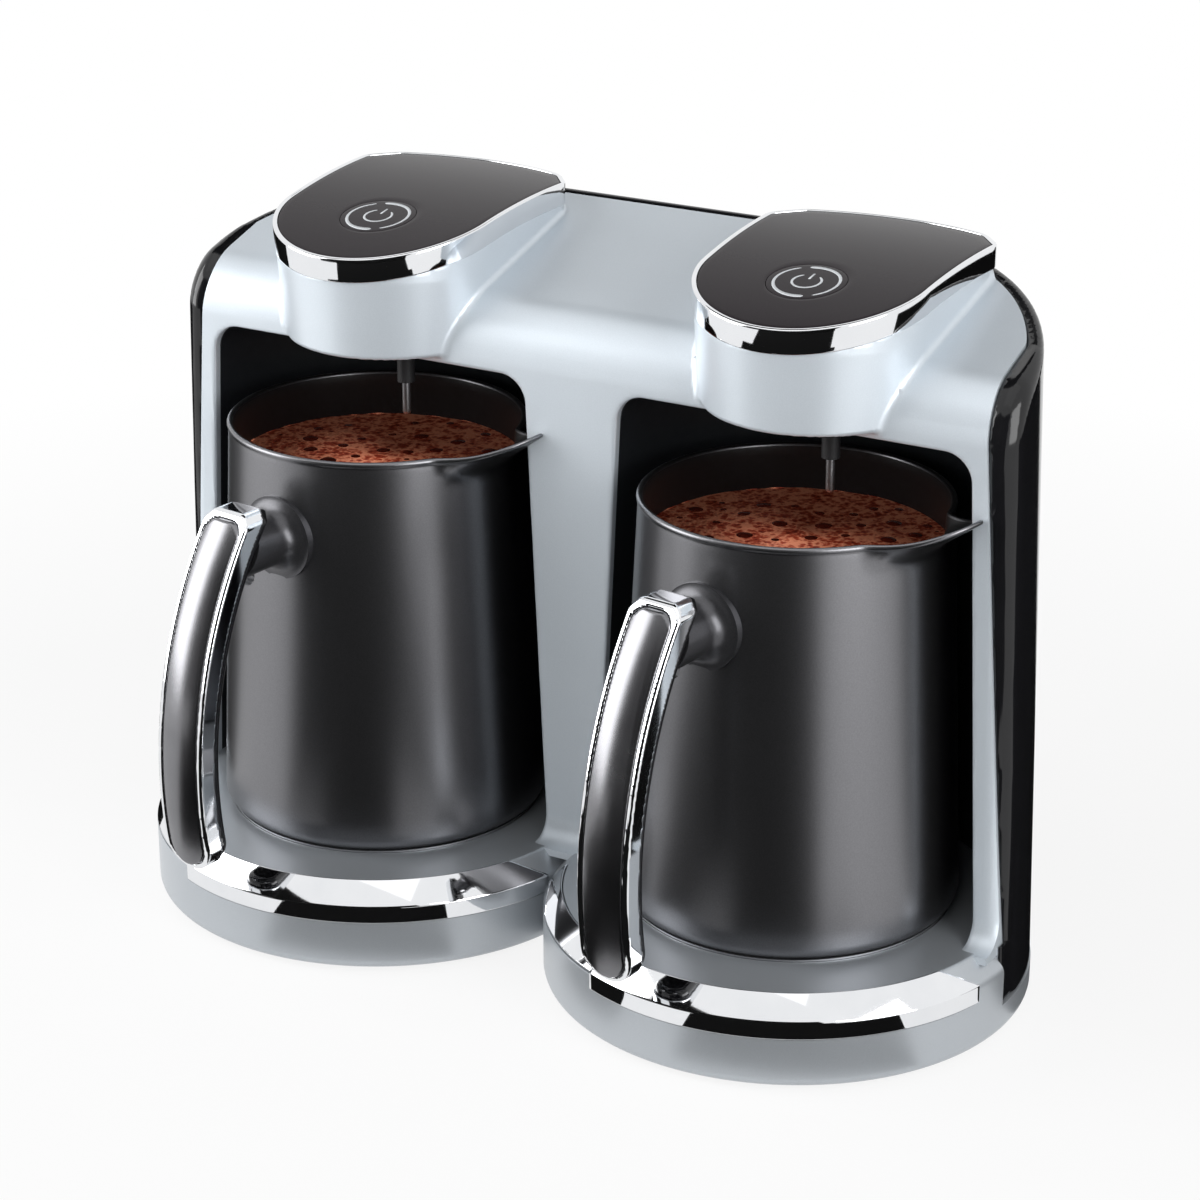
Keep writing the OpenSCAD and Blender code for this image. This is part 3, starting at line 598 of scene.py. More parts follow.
def satin_finish(name, tint, rough, grain):
    """Moulded plastic, rubber or sheet with a fine eroded texture."""
    satin = Finish(name, specular_ior_level=0.4)
    spots = satin.noise(4 * grain, 3)
    satin.feed(base_color=tinted(satin, spots, tint, 10), roughness=rough + spots * 0.12)
    satin.bump(satin.noise(grain, 2), grain * 0.12)
    return satin.material


matte_black = satin_finish("matte_black_plastic", (24, 24, 26), 0.5, 0.5 * MM)
foot_rubber = satin_finish("black_rubber", (20, 20, 20), 0.7, 0.4 * MM)
white_plastic = satin_finish("white_plastic", (226, 226, 220), 0.42, 0.6 * MM)


def brushed_finish(name, tint, rough):
    """Plain metal with fine turning marks around the upright axis."""
    metal = Finish(name, metallic=1.0)
    marks = metal.noise(1.2 * MM, 3, (1, 1, 12))
    metal.feed(base_color=tinted(metal, marks, tint, 22), roughness=rough + marks * 0.12)
    metal.bump(marks, 0.01 * MM)
    return metal.material


steel = brushed_finish("brushed_steel", (176, 176, 178), 0.24)
cast_alloy = brushed_finish("cast_alloy", (160, 161, 164), 0.34)
dress(matte_black, "bottom_plate")
dress(foot_rubber, "rubber_feet", "cord_gland")
dress(steel, "base_screws")
dress(white_plastic, "terminal_block")


# ---------------------- base trims
# A bright chrome-plated strip lies in each platform's front edge: a sloping
# upper part that turns over into an upright band.
TRIM_PROUD, TRIM_STEPS = 0.25 * MM, 140
KNEE_R, UPPER_KNEE_R, UPPER_BACK_R = 0.9 * MM, 0.4 * MM, 0.2 * MM
BAND_FOOT_R, HIDDEN_R = 0.35 * MM, 0.1 * MM


def rounded_corners(corners, steps=6):
    """Points along a closed outline of (out, up, radius) corners, each rounded."""
    points = []
    for k, (out, up, r) in enumerate(corners):
        corner = np.array([out, up])
        back = np.array(corners[k - 1][:2]) - corner
        ahead = np.array(corners[(k + 1) % len(corners)][:2]) - corner
        back, ahead = back / np.linalg.norm(back), ahead / np.linalg.norm(ahead)
        half = math.acos(np.clip(back @ ahead, -1, 1)) / 2
        bisector = (back + ahead) / np.linalg.norm(back + ahead)
        centre = corner + bisector * r / math.sin(half)
        first = corner + back * r / math.tan(half) - centre
        last = corner + ahead * r / math.tan(half) - centre
        for t in np.linspace(0, 1, steps):
            ray = first * (1 - t) + last * t
            points.append(centre + ray / np.linalg.norm(ray) * r)
    return np.array(points)


def lofted(rings, closed=False, caps=False):
    """Points and faces of a surface through rings of as many points each."""
    count, n = len(rings), len(rings[0])
    points = np.concatenate(rings)
    faces = []
    for i in range(count if closed else count - 1):
        for j in range(n):
            k = (j + 1) % n
            upper = (i + 1) % count
            faces.append((i * n + j, i * n + k, upper * n + k, upper * n + j))
    if caps:
        faces.append(tuple(range(n - 1, -1, -1)))
        faces.append(tuple(range((count - 1) * n, count * n)))
    return points, faces, None


def swept_trim(corners, left, right_low, right_high):
    """A section swept about a station's axis, with its right end cut askew."""
    section = rounded_corners(corners)
    high = np.clip(-section[:, 0] / TRIM_W, 0, 1)
    right = right_low + (right_high - right_low) * high
    radius = BASE_R + section[:, 0]
    rings = []
    for t in np.linspace(0, 1, TRIM_STEPS):
        turn = left + (right - left) * t
        rings.append(np.stack([radius * np.sin(turn), -radius * np.cos(turn), section[:, 1]], 1))
    return lofted(rings, caps=True)


# The section's face runs parallel to the platform's sloping edge, a hair proud.
TRIM_LEAN = math.atan2(TRIM_DROP, TRIM_W)
KNEE_Z = PLATFORM_Z - TRIM_DROP + TRIM_PROUD * math.tan(math.pi / 4 - TRIM_LEAN / 2)
TRIM_IN = -TRIM_W - 0.3 * MM
IN_Z = KNEE_Z + (TRIM_PROUD - TRIM_IN) * math.tan(TRIM_LEAN)
TRIM_BACK = TRIM_PROUD - TRIM_T
BACK_KNEE_Z = KNEE_Z + TRIM_T * math.tan(TRIM_LEAN) - TRIM_T / math.cos(TRIM_LEAN)
face_top, back_top = (TRIM_IN, IN_Z, FINE_R), (TRIM_IN, IN_Z - TRIM_T / math.cos(TRIM_LEAN), HIDDEN_R)
whole_section = [face_top, (TRIM_PROUD, KNEE_Z, KNEE_R), (TRIM_PROUD, TRIM_Z, BAND_FOOT_R),
                 (TRIM_BACK, TRIM_Z, HIDDEN_R), (TRIM_BACK, BACK_KNEE_Z, HIDDEN_R), back_top]
upper_section = [face_top, (TRIM_PROUD, KNEE_Z, UPPER_KNEE_R),
                 (TRIM_BACK, KNEE_Z - UPPER_KNEE_R, UPPER_BACK_R), back_top]
trim_mesh = joined(swept_trim(whole_section, BAND_LEFT, TIP_RIGHT, TOP_RIGHT),
                   swept_trim(upper_section, SLOPE_LEFT, BAND_LEFT, BAND_LEFT))


def chrome_finish():
    """Bright chrome plating, nearly a mirror, with faint wiping marks."""
    chrome = Finish("chrome_plating", metallic=1.0)
    film = chrome.noise(12 * MM, 4)
    chrome.feed(base_color=mixed(chrome, film, shade(226, 228, 231), shade(240, 241, 243)),
                roughness=0.03 + film * 0.03)
    return chrome.material


chrome = chrome_finish()
STATIONS = {"left": -PITCH / 2, "right": PITCH / 2}
for side, axis_x in STATIONS.items():
    trim = new_object("chrome_trim_" + side, trim_mesh, axis_x)
    fit(trim, chrome, "machine", "base_trim_" + side)


# ---------------------- alcove liners and heaters
# A satin black lining fills each alcove. The heater is a cast plate in the
# platform with its element and thermostat below.
lining = satin_finish("alcove_lining", (22, 24, 27), 0.34, 0.5 * MM)
thermostat_case = satin_finish("thermostat_case", (22, 22, 24), 0.4, 0.5 * MM)
for side in STATIONS:
    dress(lining, "alcove_liner_" + side)
    dress(cast_alloy, "heater_plate_" + side)
    dress(steel, "heating_element_" + side)
    dress(thermostat_case, "thermostat_" + side)


# ---------------------- head rims
# A chrome-plated band with rounded edges is pressed around the top of each
# head, and follows its crown.
BAND_EDGE_R = 0.45 * MM
OUTLINE_Y, OUTLINE_REACH, OUTLINE_HALVINGS = 15 * MM, 80 * MM, 30


def full_turn(count):
    """So many angles, evenly about a full turn."""
    return np.linspace(0, 2 * math.pi, count, endpoint=False)


def head_outline(inset, count=360):
    """The points of a head's outline from above, drawn in by inset."""
    turn = full_turn(count)
    near, far = np.zeros(count), np.full(count, OUTLINE_REACH)
    for _ in range(OUTLINE_HALVINGS):
        middle = (near + far) / 2
        inside = head_plan(middle * np.sin(turn), OUTLINE_Y - middle * np.cos(turn)) < -inset
        near, far = np.where(inside, middle, near), np.where(inside, far, middle)
    return near * np.sin(turn), OUTLINE_Y - near * np.cos(turn)


def band_section(steps=6):
    """Points (out, up) around the band's upright section, from its rounded outer top corner."""
    outer, inner = -BAND_EDGE_R, BAND_EDGE_R - BAND_T
    top, foot = -BAND_EDGE_R, BAND_EDGE_R - BAND_H
    for out, up, start in ((outer, top, 0), (inner, top, 90), (inner, foot, 180), (outer, foot, 270)):
        for a in np.radians(start + np.linspace(0, 90, steps)):
            yield out + BAND_EDGE_R * math.cos(a), up + BAND_EDGE_R * math.sin(a)


def on_head(across, y, depth):
    """Points of a head at a depth below its crowned top."""
    return np.stack([across, y, crown_z(y, depth)], 1)


rim_mesh = lofted([on_head(*head_outline(-out), -up) for out, up in band_section()], closed=True)
for side, axis_x in STATIONS.items():
    rim = new_object("head_rim_band_" + side, rim_mesh, axis_x)
    fit(rim, chrome, "machine", "head_rim_" + side)


# ---------------------- top panels
# Each head is closed by a panel of smoky black plastic with a round hole for
# the power button. It lies a hair below the chrome band's edge.
BUTTON_R, BUTTON_Y, BUTTON_GAP, PANEL_T = 10 * MM, 2.8 * MM, 0.13 * MM, 2.2 * MM
PANEL_DROP, PANEL_GAP, WELL, HOLE_ROUND = 0.25 * MM, 0.1 * MM, 4 * MM, 0.12 * MM
BUTTON_TILT = math.asin((CROWN_Y - BUTTON_Y) / CROWN_R)


def button_ring(r, count=360):
    """A ring about the button's middle, seen from above."""
    turn = full_turn(count)
    return r * np.sin(turn), BUTTON_Y - r * np.cos(turn) * math.cos(BUTTON_TILT)


def down_the_button(r, depth):
    """A ring about the button's axis, which leans with the head's top."""
    across, y = button_ring(r)
    return on_head(across, y + depth * math.sin(BUTTON_TILT), depth)


panel_rings = [on_head(*head_outline(BAND_T + PANEL_GAP), PANEL_T)]
for a in np.radians(np.linspace(0, 90, 5)):
    edge_x, edge_y = head_outline(BAND_T + PANEL_GAP + FINE_R * (1 - math.cos(a)))
    panel_rings.append(on_head(edge_x, edge_y, PANEL_DROP + FINE_R * (1 - math.sin(a))))
hole_x, hole_y = button_ring(BUTTON_R + HOLE_ROUND)
for t in np.linspace(0, 1, 16)[1:]:
    panel_rings.append(on_head(edge_x + (hole_x - edge_x) * t, edge_y + (hole_y - edge_y) * t, PANEL_DROP))
for a in np.radians(np.linspace(30, 90, 4)):
    hole_x, hole_y = button_ring(BUTTON_R + HOLE_ROUND * (1 - math.sin(a)))
    panel_rings.append(on_head(hole_x, hole_y, PANEL_DROP + HOLE_ROUND * (1 - math.cos(a))))
panel_rings.append(down_the_button(BUTTON_R, WELL))
panel_mesh = lofted(panel_rings)


def panel_finish():
    """Smoky black plastic with a fine metallic sheen."""
    panel = Finish("smoky_panel", metallic=0.08, specular_ior_level=0.08)
    sheen = panel.noise(0.3 * MM, 1)
    panel.feed(base_color=mixed(panel, sheen, shade(40, 36, 39), shade(52, 47, 50)),
               roughness=0.2 + sheen * 0.06)
    return panel.material


panel_black = panel_finish()
for side, axis_x in STATIONS.items():
    panel = new_object("smoky_panel_" + side, panel_mesh, axis_x)
    fit(panel, panel_black, "machine", "top_panel_" + side)


# ---------------------- power buttons
# A button is a low disc of the panel's finish in a fine gap. A ring of two
# arcs and the usual power sign are printed on it in pale silver.
BUTTON_T = 1.9 * MM
PRINT_T, PRINT_SHOWS = 0.06 * MM, 0.3   # thickness, and the share of it that stands proud
RING_R, RING_ARCS = 8.1 * MM, ((35, 200), (215, 380))
SIGN_R, SIGN_ARC, SIGN_HALF_W = 3.6 * MM, (215, 505), 0.3 * MM
BAR_START, BAR_END, BAR_HALF_W = 1.2 * MM, 4.4 * MM, 0.28 * MM

# depths of a stroke's four corners below the head's crowned top
PRINT_DEPTHS = PANEL_DROP + np.array([-PRINT_SHOWS, -PRINT_SHOWS, 1, 1]) * PRINT_T

button_rings = [down_the_button(BUTTON_R - BUTTON_GAP, BUTTON_T)]
for a in np.radians(np.linspace(0, 90, 5)):
    r = BUTTON_R - BUTTON_GAP - HOLE_ROUND * (1 - math.cos(a))
    button_rings.append(on_head(*button_ring(r), PANEL_DROP + HOLE_ROUND * (1 - math.sin(a))))
for t in np.linspace(1, 0.02, 10)[1:]:
    button_rings.append(on_head(*button_ring((BUTTON_R - BUTTON_GAP - HOLE_ROUND) * t), PANEL_DROP))
button_mesh = lofted(button_rings, caps=True)


def printed(mid_r, half_width, start, end):
    """A printed stroke along an arc about the button's middle, in degrees from
    the front towards the right. The half width may change along it."""
    steps = max(int(abs(end - start) / 3), 4)
    rings = []
    for s in np.linspace(0, 1, steps + 1):
        a = math.radians(start + (end - start) * s)
        w = half_width(s) * math.sqrt(max(1 - (2 * s - 1) ** 20, 0.02))     # round at its ends
        r = np.array([mid_r - w, mid_r + w, mid_r + w, mid_r - w])
        rings.append(on_head(r * math.sin(a), BUTTON_Y - r * math.cos(a), PRINT_DEPTHS))
    return lofted(rings, caps=True)


def swelling(s):
    """Half the width of the outer ring's strokes, which swell towards their ends."""
    return (0.28 + 0.42 * s ** 2) * MM


def even(s):
    """Half the width of the inner sign's stroke, which stays the same."""
    return SIGN_HALF_W


bar_rings = [on_head(np.array([-1, 1, 1, -1]) * BAR_HALF_W, np.full(4, BUTTON_Y + end), PRINT_DEPTHS)
             for end in (BAR_START, BAR_END)]
sign_mesh = joined(*(printed(RING_R, swelling, *arc) for arc in RING_ARCS),
                   printed(SIGN_R, even, *SIGN_ARC), lofted(bar_rings, caps=True))


def print_finish():
    """Pale silver pad print, with a faint glow that is painted light."""
    # the print glows faintly in pale silver: painted light, as it is no lamp
    ink = Finish("silver_print_painted_glow", metallic=0.3, emission_color=shade(190, 196, 202), emission_strength=0.12)
    grain = ink.noise(0.4 * MM, 2)
    ink.feed(base_color=mixed(ink, grain, shade(196, 200, 205), shade(220, 223, 226)),
             roughness=0.35 + grain * 0.1)
    return ink.material


silver_print_painted_glow = print_finish()
for side, axis_x in STATIONS.items():
    button = new_object("push_button_" + side, button_mesh, axis_x)
    fit(button, panel_black, "button_" + side, "power_button_" + side)
    power_sign = new_object("power_sign_" + side, sign_mesh, axis_x)
    fit(power_sign, silver_print_painted_glow, "button_" + side)


# ---------------------- boards and sensors
# Each head holds a lacquered circuit board with a push switch under the
# button, and a steel probe that hangs through the ceiling in a black sleeve.
lacquer = satin_finish("board_lacquer", (18, 84, 48), 0.3, 0.6 * MM)
for side in STATIONS:
    dress(lacquer, "control_board_" + side)
    dress(matte_black, "push_switch_" + side, "sensor_sleeve_" + side)
    dress(steel, "sensor_rod_" + side)


# ---------------------- pots
# A pot is deep-drawn in one piece, with a rounded foot, a rolled rim and a
# slender open spout, and is coated satin black inside and out.
POT_BASE_R, POT_RIM_R, POT_H, POT_WALL = 44 * MM, 39 * MM, 107 * MM, 1.4 * MM
POT_FOOT_R, POT_FLOOR, BEAD_R, BEAD_IN = 4 * MM, 3 * MM, 0.8 * MM, 0.35 * MM
POT_HOLLOW, POT_RING_IN, POT_RING_OUT = 0.8 * MM, 34 * MM, 36 * MM    # under its base
POT_MIDDLE_R = 0.4 * MM                 # the innermost ring of the mesh
SEAT_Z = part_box("pot_body_left")[0].z
POT_TURN = math.radians(-7.5)
SPOUT_TURN = {"left": math.radians(0.5), "right": math.radians(-4)}
SPOUT_REACH, SPOUT_RISE, SPOUT_DROP = 14.8 * MM, 5.2 * MM, 8 * MM
SPOUT_FRONT, SPOUT_BACK = math.radians(31), math.radians(22)
SPOUT_SPAN, BEAK_POWER, LIFT_POWER = 32, 2.2, 1.3


def pot_r(z):
    """Radius of the pot's tapered wall."""
    return POT_BASE_R + (POT_RIM_R - POT_BASE_R) * z / POT_H


# directions around a pot from its spout, closer together across the spout
around = np.radians(np.concatenate([
    np.arange(SPOUT_SPAN, 360 - SPOUT_SPAN, 2.5), np.arange(-SPOUT_SPAN, SPOUT_SPAN, 1.0)]))
off = np.angle(np.exp(1j * around))
beak = np.maximum(1 - (off / np.where(off < 0, SPOUT_FRONT, SPOUT_BACK)) ** 2, 0) ** BEAK_POWER


def pot_ring(r, z, turn):
    """A ring of the pot's surface. Near the rim it runs out into the spout."""
    lift = smooth_step((z - POT_H + SPOUT_DROP) / SPOUT_DROP) ** LIFT_POWER
    out = r + SPOUT_REACH * beak * lift
    return np.stack([out * np.cos(around + turn), out * np.sin(around + turn),
                     z + SPOUT_RISE * beak ** 2 * lift], 1)


def pot_outside():
    """Radius and height along the pot's section, from under its base to its rolled rim."""
    yield POT_MIDDLE_R, POT_HOLLOW
    yield POT_RING_IN, POT_HOLLOW
    yield POT_RING_OUT, 0
    for a in np.radians(np.linspace(-90, 0, 9)):
        rise = POT_FOOT_R * (1 + math.sin(a))
        yield pot_r(rise) - POT_FOOT_R + POT_FOOT_R * math.cos(a), rise
    for z in np.concatenate([np.linspace(10, 90, 9), np.linspace(93, 105, 9)]) * MM:
        yield pot_r(z), z
    for a in np.radians(np.linspace(-60, 180, 13)):
        yield POT_RIM_R - BEAD_IN + BEAD_R * math.cos(a), POT_H - BEAD_R + BEAD_R * math.sin(a)


def pot_inside():
    """Radius and height along the pot's section, down its inner wall to its floor."""
    for z in np.concatenate([np.linspace(105, 93, 9), np.linspace(90, 12, 9)]) * MM:
        yield pot_r(z) - POT_WALL, z
    for a in np.radians(np.linspace(0, -90, 9)):
        rise = POT_FLOOR + POT_FOOT_R * (1 + math.sin(a))
        yield pot_r(rise) - POT_WALL - POT_FOOT_R + POT_FOOT_R * math.cos(a), rise
    yield POT_MIDDLE_R, POT_FLOOR


def coated_finish(name, tint, sheen):
    """Satin black coating with a dark metallic gleam."""
    coating = Finish(name, metallic=sheen)
    speckle = coating.noise(0.35 * MM, 2)
    coating.feed(base_color=tinted(coating, speckle, tint, 20), roughness=0.28 + speckle * 0.06)
    coating.bump(coating.noise(0.3 * MM, 1), 0.004 * MM)
    return coating.material


pot_coating = coated_finish("satin_black_coating", (112, 112, 115), 1.0)
pot_lining = satin_finish("black_pot_lining", (14, 14, 15), 0.3, 0.3 * MM)
for side, axis_x in STATIONS.items():
    outer = [pot_ring(r, z, SPOUT_TURN[side]) for r, z in pot_outside()]
    inner = [pot_ring(r, z, SPOUT_TURN[side]) for r, z in pot_inside()]
    pot = new_object("coated_pot_" + side, lofted(outer + inner, caps=True), axis_x, SEAT_Z, POT_TURN)
    fit(pot, pot_coating, "pot_" + side, "pot_body_" + side)
    dress(pot_lining, pot)
    for polygon in pot.data.polygons:
        polygon.material_index = int(polygon.index >= (len(outer) - 1) * len(around))


# ---------------------- coffee
# Freshly boiled coffee stands high in each pot, under red-brown foam with
# bubbles of all sizes.
COFFEE_Z, FOAM_GAP = 94 * MM, 0.02 * MM
WAVE_H, WAVE_X, WAVE_Y, RIPPLE = 0.14 * MM, 5.1 * MM, 4.3 * MM, 2.3 * MM
CLIMB_H, CLIMB_W = 0.7 * MM, 1.6 * MM
BUBBLE_COUNT, SMALLEST, LARGEST, SKEW = 700, 0.28 * MM, 3.4 * MM, 7
BUBBLE_SPACING, WALL_CLEAR, TRIES = 1.25, 0.4 * MM, 30
foam_r = pot_r(COFFEE_Z) - POT_WALL - FOAM_GAP
rng = np.random.default_rng(7)


def foam_height(x, y):
    """The foam is a little uneven, and climbs at the wall."""
    waves = np.sin(x / WAVE_X + 0.7) * np.sin(y / WAVE_Y) + 0.6 * np.sin((x + 2 * y) / RIPPLE)
    edge = np.exp((np.hypot(x, y) - foam_r) / CLIMB_W)
    return COFFEE_Z + WAVE_H * waves + CLIMB_H * edge


foam_rings, turn = [], full_turn(180)
for r in np.linspace(1, 0.01, 60) * foam_r:
    x, y = r * np.cos(turn), r * np.sin(turn)
    foam_rings.append(np.stack([x, y, foam_height(x, y)], 1))
foam_mesh = lofted(foam_rings, caps=True)

# out and up from a bubble's middle, in its radii: a raised skirt, then a low dome
SKIRT_AND_DOME = ((1.25, -0.016), (1.12, 0.096), (1.0, 0.16), (0.9, 0.08),
                  (0.82, 0.112), (0.6, 0.24), (0.3, 0.32), (0.02, 0.336))


def bubble(x, y, r):
    """A bubble of radius r that stands in the foam."""
    rings, turn = [], full_turn(20)
    for out, up in SKIRT_AND_DOME:
        bx, by = x + out * r * np.cos(turn), y + out * r * np.sin(turn)
        rings.append(np.stack([bx, by, foam_height(bx, by) + up * r], 1))
    return lofted(rings, caps=True)


def scattered_bubbles():
    """Bubbles of many sizes that don't touch one another."""
    forms, taken = [], []
    sizes = SMALLEST + (LARGEST - SMALLEST) * rng.random(BUBBLE_COUNT) ** SKEW
    for size in sorted(sizes, reverse=True):
        for _ in range(TRIES):
            spot = rng.random() ** 0.5 * (foam_r - 1.4 * size - WALL_CLEAR)
            turn = rng.random() * 2 * math.pi
            x, y = spot * math.cos(turn), spot * math.sin(turn)
            if all(math.hypot(x - a, y - b) > (size + c) * BUBBLE_SPACING for a, b, c in taken):
                taken.append((x, y, size))
                forms.append(bubble(x, y, size))
                break
    return joined(*forms)


def foam_finish():
    """Red-brown foam: pale between its fine bubbles and dark in them. It glows faintly in its own colours:
    painted light against the shade of the pot and the head.
    """
    # the foam glows faintly in its own colour: painted light, as it lies in the shade of the pot and the
    # head
    foam = Finish("coffee_foam_painted_light", specular_ior_level=0.3, emission_strength=0.08)
    cells = foam.node("ShaderNodeTexVoronoi", {}, {"Vector": foam.place(), "Scale": 1 / (1.7 * MM)})
    fine = foam.node("ShaderNodeTexVoronoi", {}, {"Vector": foam.place(), "Scale": 1 / (0.8 * MM)})
    streaks = foam.noise(5 * MM, 4)
    depth = cells * 0.55 + fine * 0.35 + streaks * 0.9 - 0.32
    # the foam's own red-brown, dark in its bubbles, set lighter as painted light against that shade
    stops = [(0.12, shade(40, 8, 4)), (0.3, shade(126, 40, 22)),
             (0.5, shade(166, 66, 42)), (0.7, shade(226, 140, 106))]
    colour = foam.node("ShaderNodeValToRGB", {"stops": stops}, {"Fac": depth})
    foam.feed(base_color=colour, emission_color=colour, roughness=0.4 + cells * 0.2)
    foam.bump(cells * 0.6 + fine * 0.3, 0.4 * MM)
    return foam.material


def bubble_finish():
    """The thin dark film of a bubble, with a wet gloss and a faint glow that is painted light."""
    # the bubbles glow faintly in their own colour: painted light against the shade in the pot
    film = Finish("coffee_bubbles_painted_glow", specular_ior_level=0.9, emission_strength=0.03)
    stain = film.noise(2 * MM, 2)
    colour = mixed(film, stain, shade(30, 8, 5), shade(84, 26, 16))
    film.feed(base_color=colour, emission_color=colour, roughness=0.08 + stain * 0.06)
    return film.material


foam_brown, bubble_brown = foam_finish(), bubble_finish()
for side, axis_x in STATIONS.items():
    coffee = new_object("coffee_" + side, foam_mesh, axis_x, SEAT_Z, POT_TURN)
    fit(coffee, foam_brown, "pot_" + side)
    froth = new_object("bubbles_" + side, scattered_bubbles(), axis_x, SEAT_Z, POT_TURN)
    fit(froth, bubble_brown, "pot_" + side)


# ---------------------- handles
# A bowed bar in three layers: a chrome frame with a polished black inlay in
# its front, and a polished black grip behind. A neck joins it to the pot.
HANDLE_W, HANDLE_T, FRAME_T, INLAY_T, INLAY_EDGE = 15 * MM, 8.8 * MM, 5.3 * MM, 1.6 * MM, 1.6 * MM
BOW_R, HANDLE_REACH = 112 * MM, 79.6 * MM
BOW_Y, BOW_Z = BOW_R - HANDLE_REACH, POT_H * 0.275
HANDLE_FOOT, HANDLE_TOP, HANDLE_CORNER = 4.5 * MM, 96.5 * MM, 2.5 * MM
FRAME_R, FRAME_BACK_R, POCKET_R, GRIP_R, GRIP_IN = 0.7 * MM, 0.4 * MM, 0.35 * MM, 2.4 * MM, 0.8 * MM
INLAY_CROWN, INLAY_R, INLAY_PLAY, LAYER_GAP = 1.15 * MM, 0.5 * MM, 0.12 * MM, 0.1 * MM


def bow_depth(y, z):
    """Depth behind the handle's outer face, which is part of a cylinder."""
    return BOW_R - np.hypot(y - BOW_Y, z - BOW_Z)


def handle_outline(x, z, inset=0):
    """Distance to the handle's outline from the front: round below, cut corners above."""
    w = HANDLE_W / 2 - inset
    foot = HANDLE_FOOT + HANDLE_W / 2
    sides = np.where(z < foot, np.hypot(x, z - foot), abs(x)) - w
    top = HANDLE_TOP - inset
    corner = (abs(x) + z - w - top + HANDLE_CORNER) / math.sqrt(2)
    return smooth_max(smooth_max(sides, corner, SOFT_R), z - top, SOFT_R)


def frame_form(x, y, z):
    depth = bow_depth(y, z)
    solid = smooth_max(handle_outline(x, z), -depth, FRAME_R)
    solid = smooth_max(solid, depth - FRAME_T, FRAME_BACK_R)
    pocket = np.maximum(handle_outline(x, z, INLAY_EDGE), depth - INLAY_T)
    return smooth_max(solid, -pocket, POCKET_R)


def inlay_form(x, y, z):
    depth = bow_depth(y, z) + INLAY_CROWN * (1 - (x / (HANDLE_W / 2 - INLAY_EDGE)) ** 2)
    outline = handle_outline(x, z, INLAY_EDGE + INLAY_PLAY)
    return np.maximum(smooth_max(outline, LAYER_GAP - depth, INLAY_R), bow_depth(y, z) - INLAY_T)


def grip_form(x, y, z):
    depth = bow_depth(y, z)
    solid = smooth_max(handle_outline(x, z, GRIP_IN), depth - HANDLE_T, GRIP_R)
    return smooth_max(solid, FRAME_T + LAYER_GAP - depth, FRAME_BACK_R)


def inlay_finish():
    """Black-plated metal, polished."""
    plated = Finish("black_plated_inlay", metallic=1.0)
    film = plated.noise(9 * MM, 2)
    plated.feed(base_color=tinted(plated, film, (118, 118, 121), 16), roughness=0.24 + film * 0.05)
    return plated.material


HANDLE_CELL = 0.55 * MM
HANDLE_BACK = -44 * MM
handle_box = ((-HANDLE_W / 2, -HANDLE_REACH - MM, HANDLE_FOOT), (HANDLE_W / 2, HANDLE_BACK, HANDLE_TOP))
for name, form, finish, node, slot in (
        ("chrome_handle_frame_", frame_form, chrome, "handle_frame_", "chrome_trim"),
        ("black_inlay_", inlay_form, inlay_finish(), "handle_inlay_", "gloss_black"),
        ("black_grip_", grip_form, gloss_black, "handle_grip_", "gloss_black")):
    part_mesh = moulded(form, *handle_box, HANDLE_CELL)
    for side, axis_x in STATIONS.items():
        part = new_object(name + side, part_mesh, axis_x, SEAT_Z, POT_TURN)
        fit(part, finish, "pot_" + side, node + side)

neck_coating = coated_finish("neck_coating", (72, 72, 75), 0.8)
for side in STATIONS:
    dress(neck_coating, "handle_neck_" + side)
    dress(steel, "neck_screw_" + side)


# ---------------------- room
# A pale floor, soft boxes to the left, to the right and above, and black
# cards around the machine that only polished and satin surfaces mirror.
FLOOR_SPAN, FADE_START, FADE_END, FLOOR_GLOW = 6.0, 0.25, 0.5, 0.86
AMBIENT = 0.22


def stage_mesh(name, points, faces, material):
    """A floor or a card, which isn't part of the machine."""
    mesh = bpy.data.meshes.new(name)
    mesh.from_pydata([tuple(p) for p in points], [], faces)
    mesh.materials.append(material)
    obj = bpy.data.objects.new(name, mesh)
    bpy.context.scene.collection.objects.link(obj)
    return obj


paper = Finish("pale_floor", base_color=shade(240, 240, 240), roughness=0.7, specular_ior_level=0.1)
distance = paper.node("ShaderNodeVectorMath", {"operation": "LENGTH"}, {0: paper.place()}, output="Value")
fade = paper.node("ShaderNodeMapRange", {}, {"Value": distance, "From Min": FADE_START, "From Max": FADE_END,
                                             "To Min": FLOOR_GLOW, "To Max": 1.0})
glow = paper.node("ShaderNodeEmission", {}, {"Color": (1, 1, 1), "Strength": 1.0})
surface = paper.node("ShaderNodeMixShader", {}, {0: paper.rays("Camera", "Glossy") * fade,
                                                 1: Value(paper, paper.shader.outputs[0]), 2: glow})
paper.plug(paper.tree.nodes["Material Output"].inputs["Surface"], surface)
floor_corners = [(x * FLOOR_SPAN, y * FLOOR_SPAN, 0) for x, y in ((-1, -1), (1, -1), (1, 1), (-1, 1))]
stage_mesh("floor", floor_corners, [(0, 1, 2, 3)], paper.material)

world = bpy.data.worlds.new("studio")
bpy.context.scene.world = world
world.use_nodes = True
sky = Nodes(world.node_tree)
background = world.node_tree.nodes["Background"]
sky.plug(background.inputs["Color"], (1, 1, 1))
seen = sky.rays("Camera", "Glossy", "Transmission")
sky.plug(background.inputs["Strength"], AMBIENT + (1 - AMBIENT) * seen)

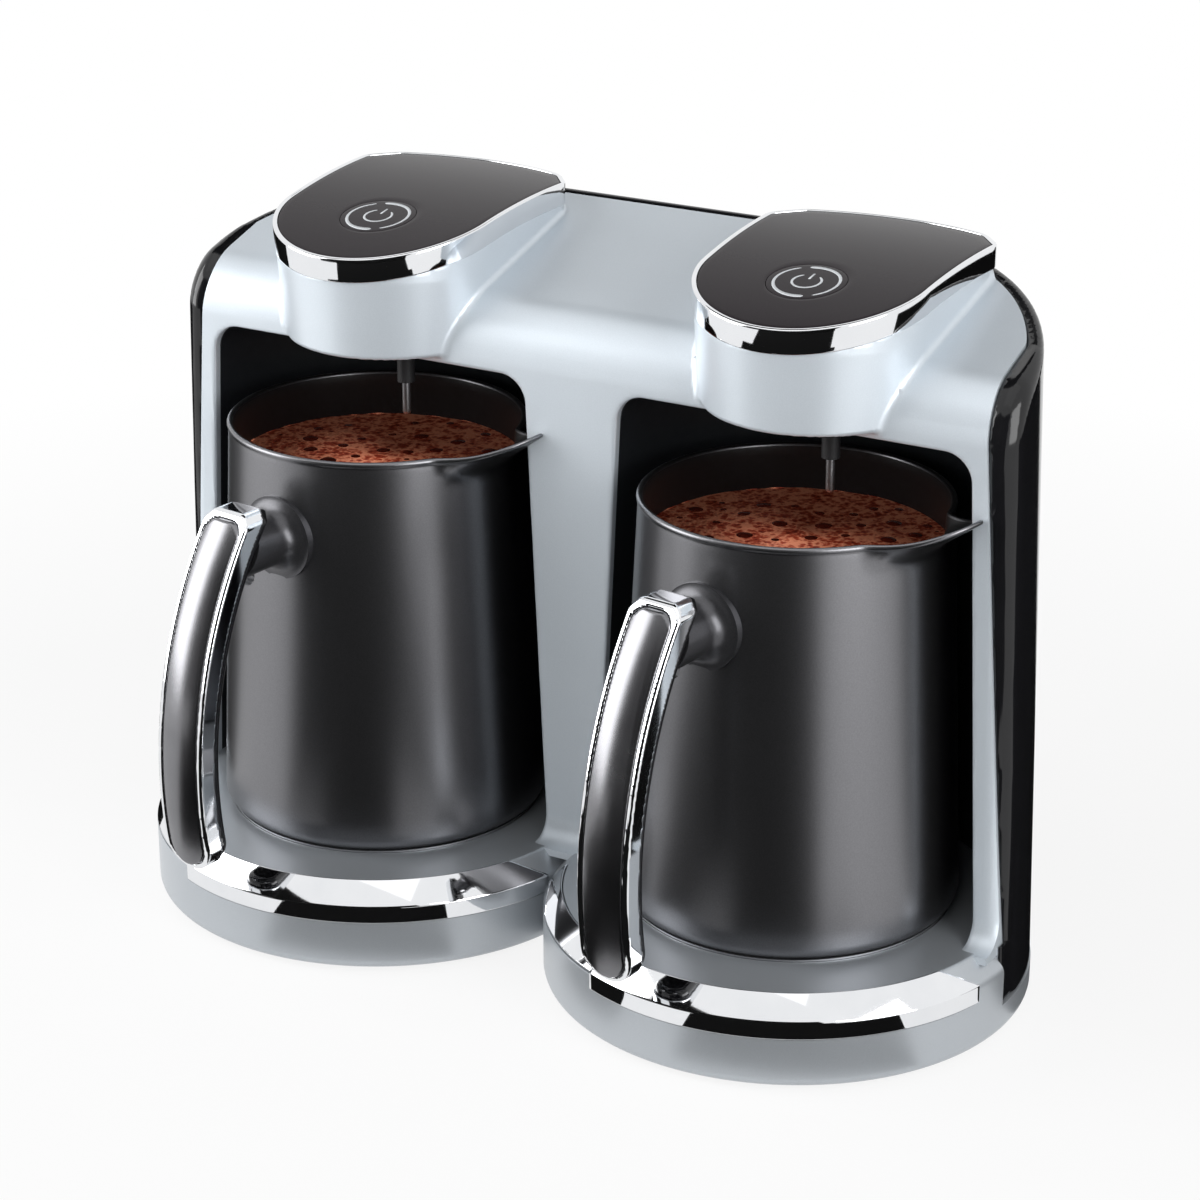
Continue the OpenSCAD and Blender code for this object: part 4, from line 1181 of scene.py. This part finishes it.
# Rectangular lamps that face the machine: degrees from the front towards the
# right and upwards, then distance, width and height in metres, and watts.
for name, azimuth, elevation, distance, width, height, watts in (
        ("left_box", -62, 16, 1.3, 0.8, 1.2, 15),
        ("right_box", 70, 16, 1.3, 0.7, 1.2, 12.5),
        ("top_box", 0, 78, 1.4, 1.4, 1.0, 1.2),
        ("front_box", -4, 22, 1.3, 1.4, 0.5, 6)):
    a, e = math.radians(azimuth), math.radians(elevation)
    away = Vector((math.sin(a) * math.cos(e), -math.cos(a) * math.cos(e), math.sin(e)))
    lamp = bpy.data.objects.new(name, bpy.data.lights.new(name, "AREA"))
    lamp.data.shape = "RECTANGLE"
    lamp.data.size, lamp.data.size_y = width, height
    lamp.data.energy = watts
    lamp.location = Vector((0, 0, 0.1)) + away * distance
    lamp.rotation_euler = away.to_track_quat("Z", "Y").to_euler()
    bpy.context.scene.collection.objects.link(lamp)

black_card = Finish("black_card", base_color=(0.008, 0.008, 0.008), roughness=0.9, specular_ior_level=0.0)
CARD_STEPS, CARD_Z = 40, 0.4 * MM


def card(name, across, start, end, near, far, low=CARD_Z, high=CARD_Z):
    """A black card in the shape of a ring's sector about a station's axis, from
    one angle to another in degrees from the front towards the right."""
    turn = np.radians(np.linspace(start, end, CARD_STEPS))
    rings = [np.stack([across + r * np.sin(turn), -r * np.cos(turn), np.full(CARD_STEPS, z)], 1)
             for r, z in ((near, low), (far, high))]
    faces = [(i, i + 1, i + 1 + CARD_STEPS, i + CARD_STEPS) for i in range(CARD_STEPS - 1)]
    obj = stage_mesh(name, np.concatenate(rings), faces, black_card.material)
    obj.visible_camera = obj.visible_diffuse = obj.visible_shadow = obj.visible_transmission = False


# The cards on the floor about a station: where the near and the middle one
# end, and where the one behind starts and ends, in degrees.
CARD_ENDS = {"left": (56, 40, -88, -178), "right": (67, 46, 104, 178)}
NEAR, MIDDLE, FAR, OUTER = 0.0645, 0.11, 0.43, 1.1
for side, axis_x in STATIONS.items():
    near_end, middle_end, rear_start, rear_end = CARD_ENDS[side]
    card("near_card_" + side, axis_x, -4, near_end, NEAR, MIDDLE)
    card("middle_card_" + side, axis_x, -32, middle_end, MIDDLE, FAR)
    card("far_card_" + side, axis_x, -20, 42, FAR, OUTER)
    card("rear_card_" + side, axis_x, rear_start, rear_end, 0.066, 0.9)
card("standing_card", 0, -40, 45, OUTER, OUTER, low=0, high=1.1)
card("ceiling_card", 0, -180, -100, 0.12, 0.8, low=1.0, high=1.0)
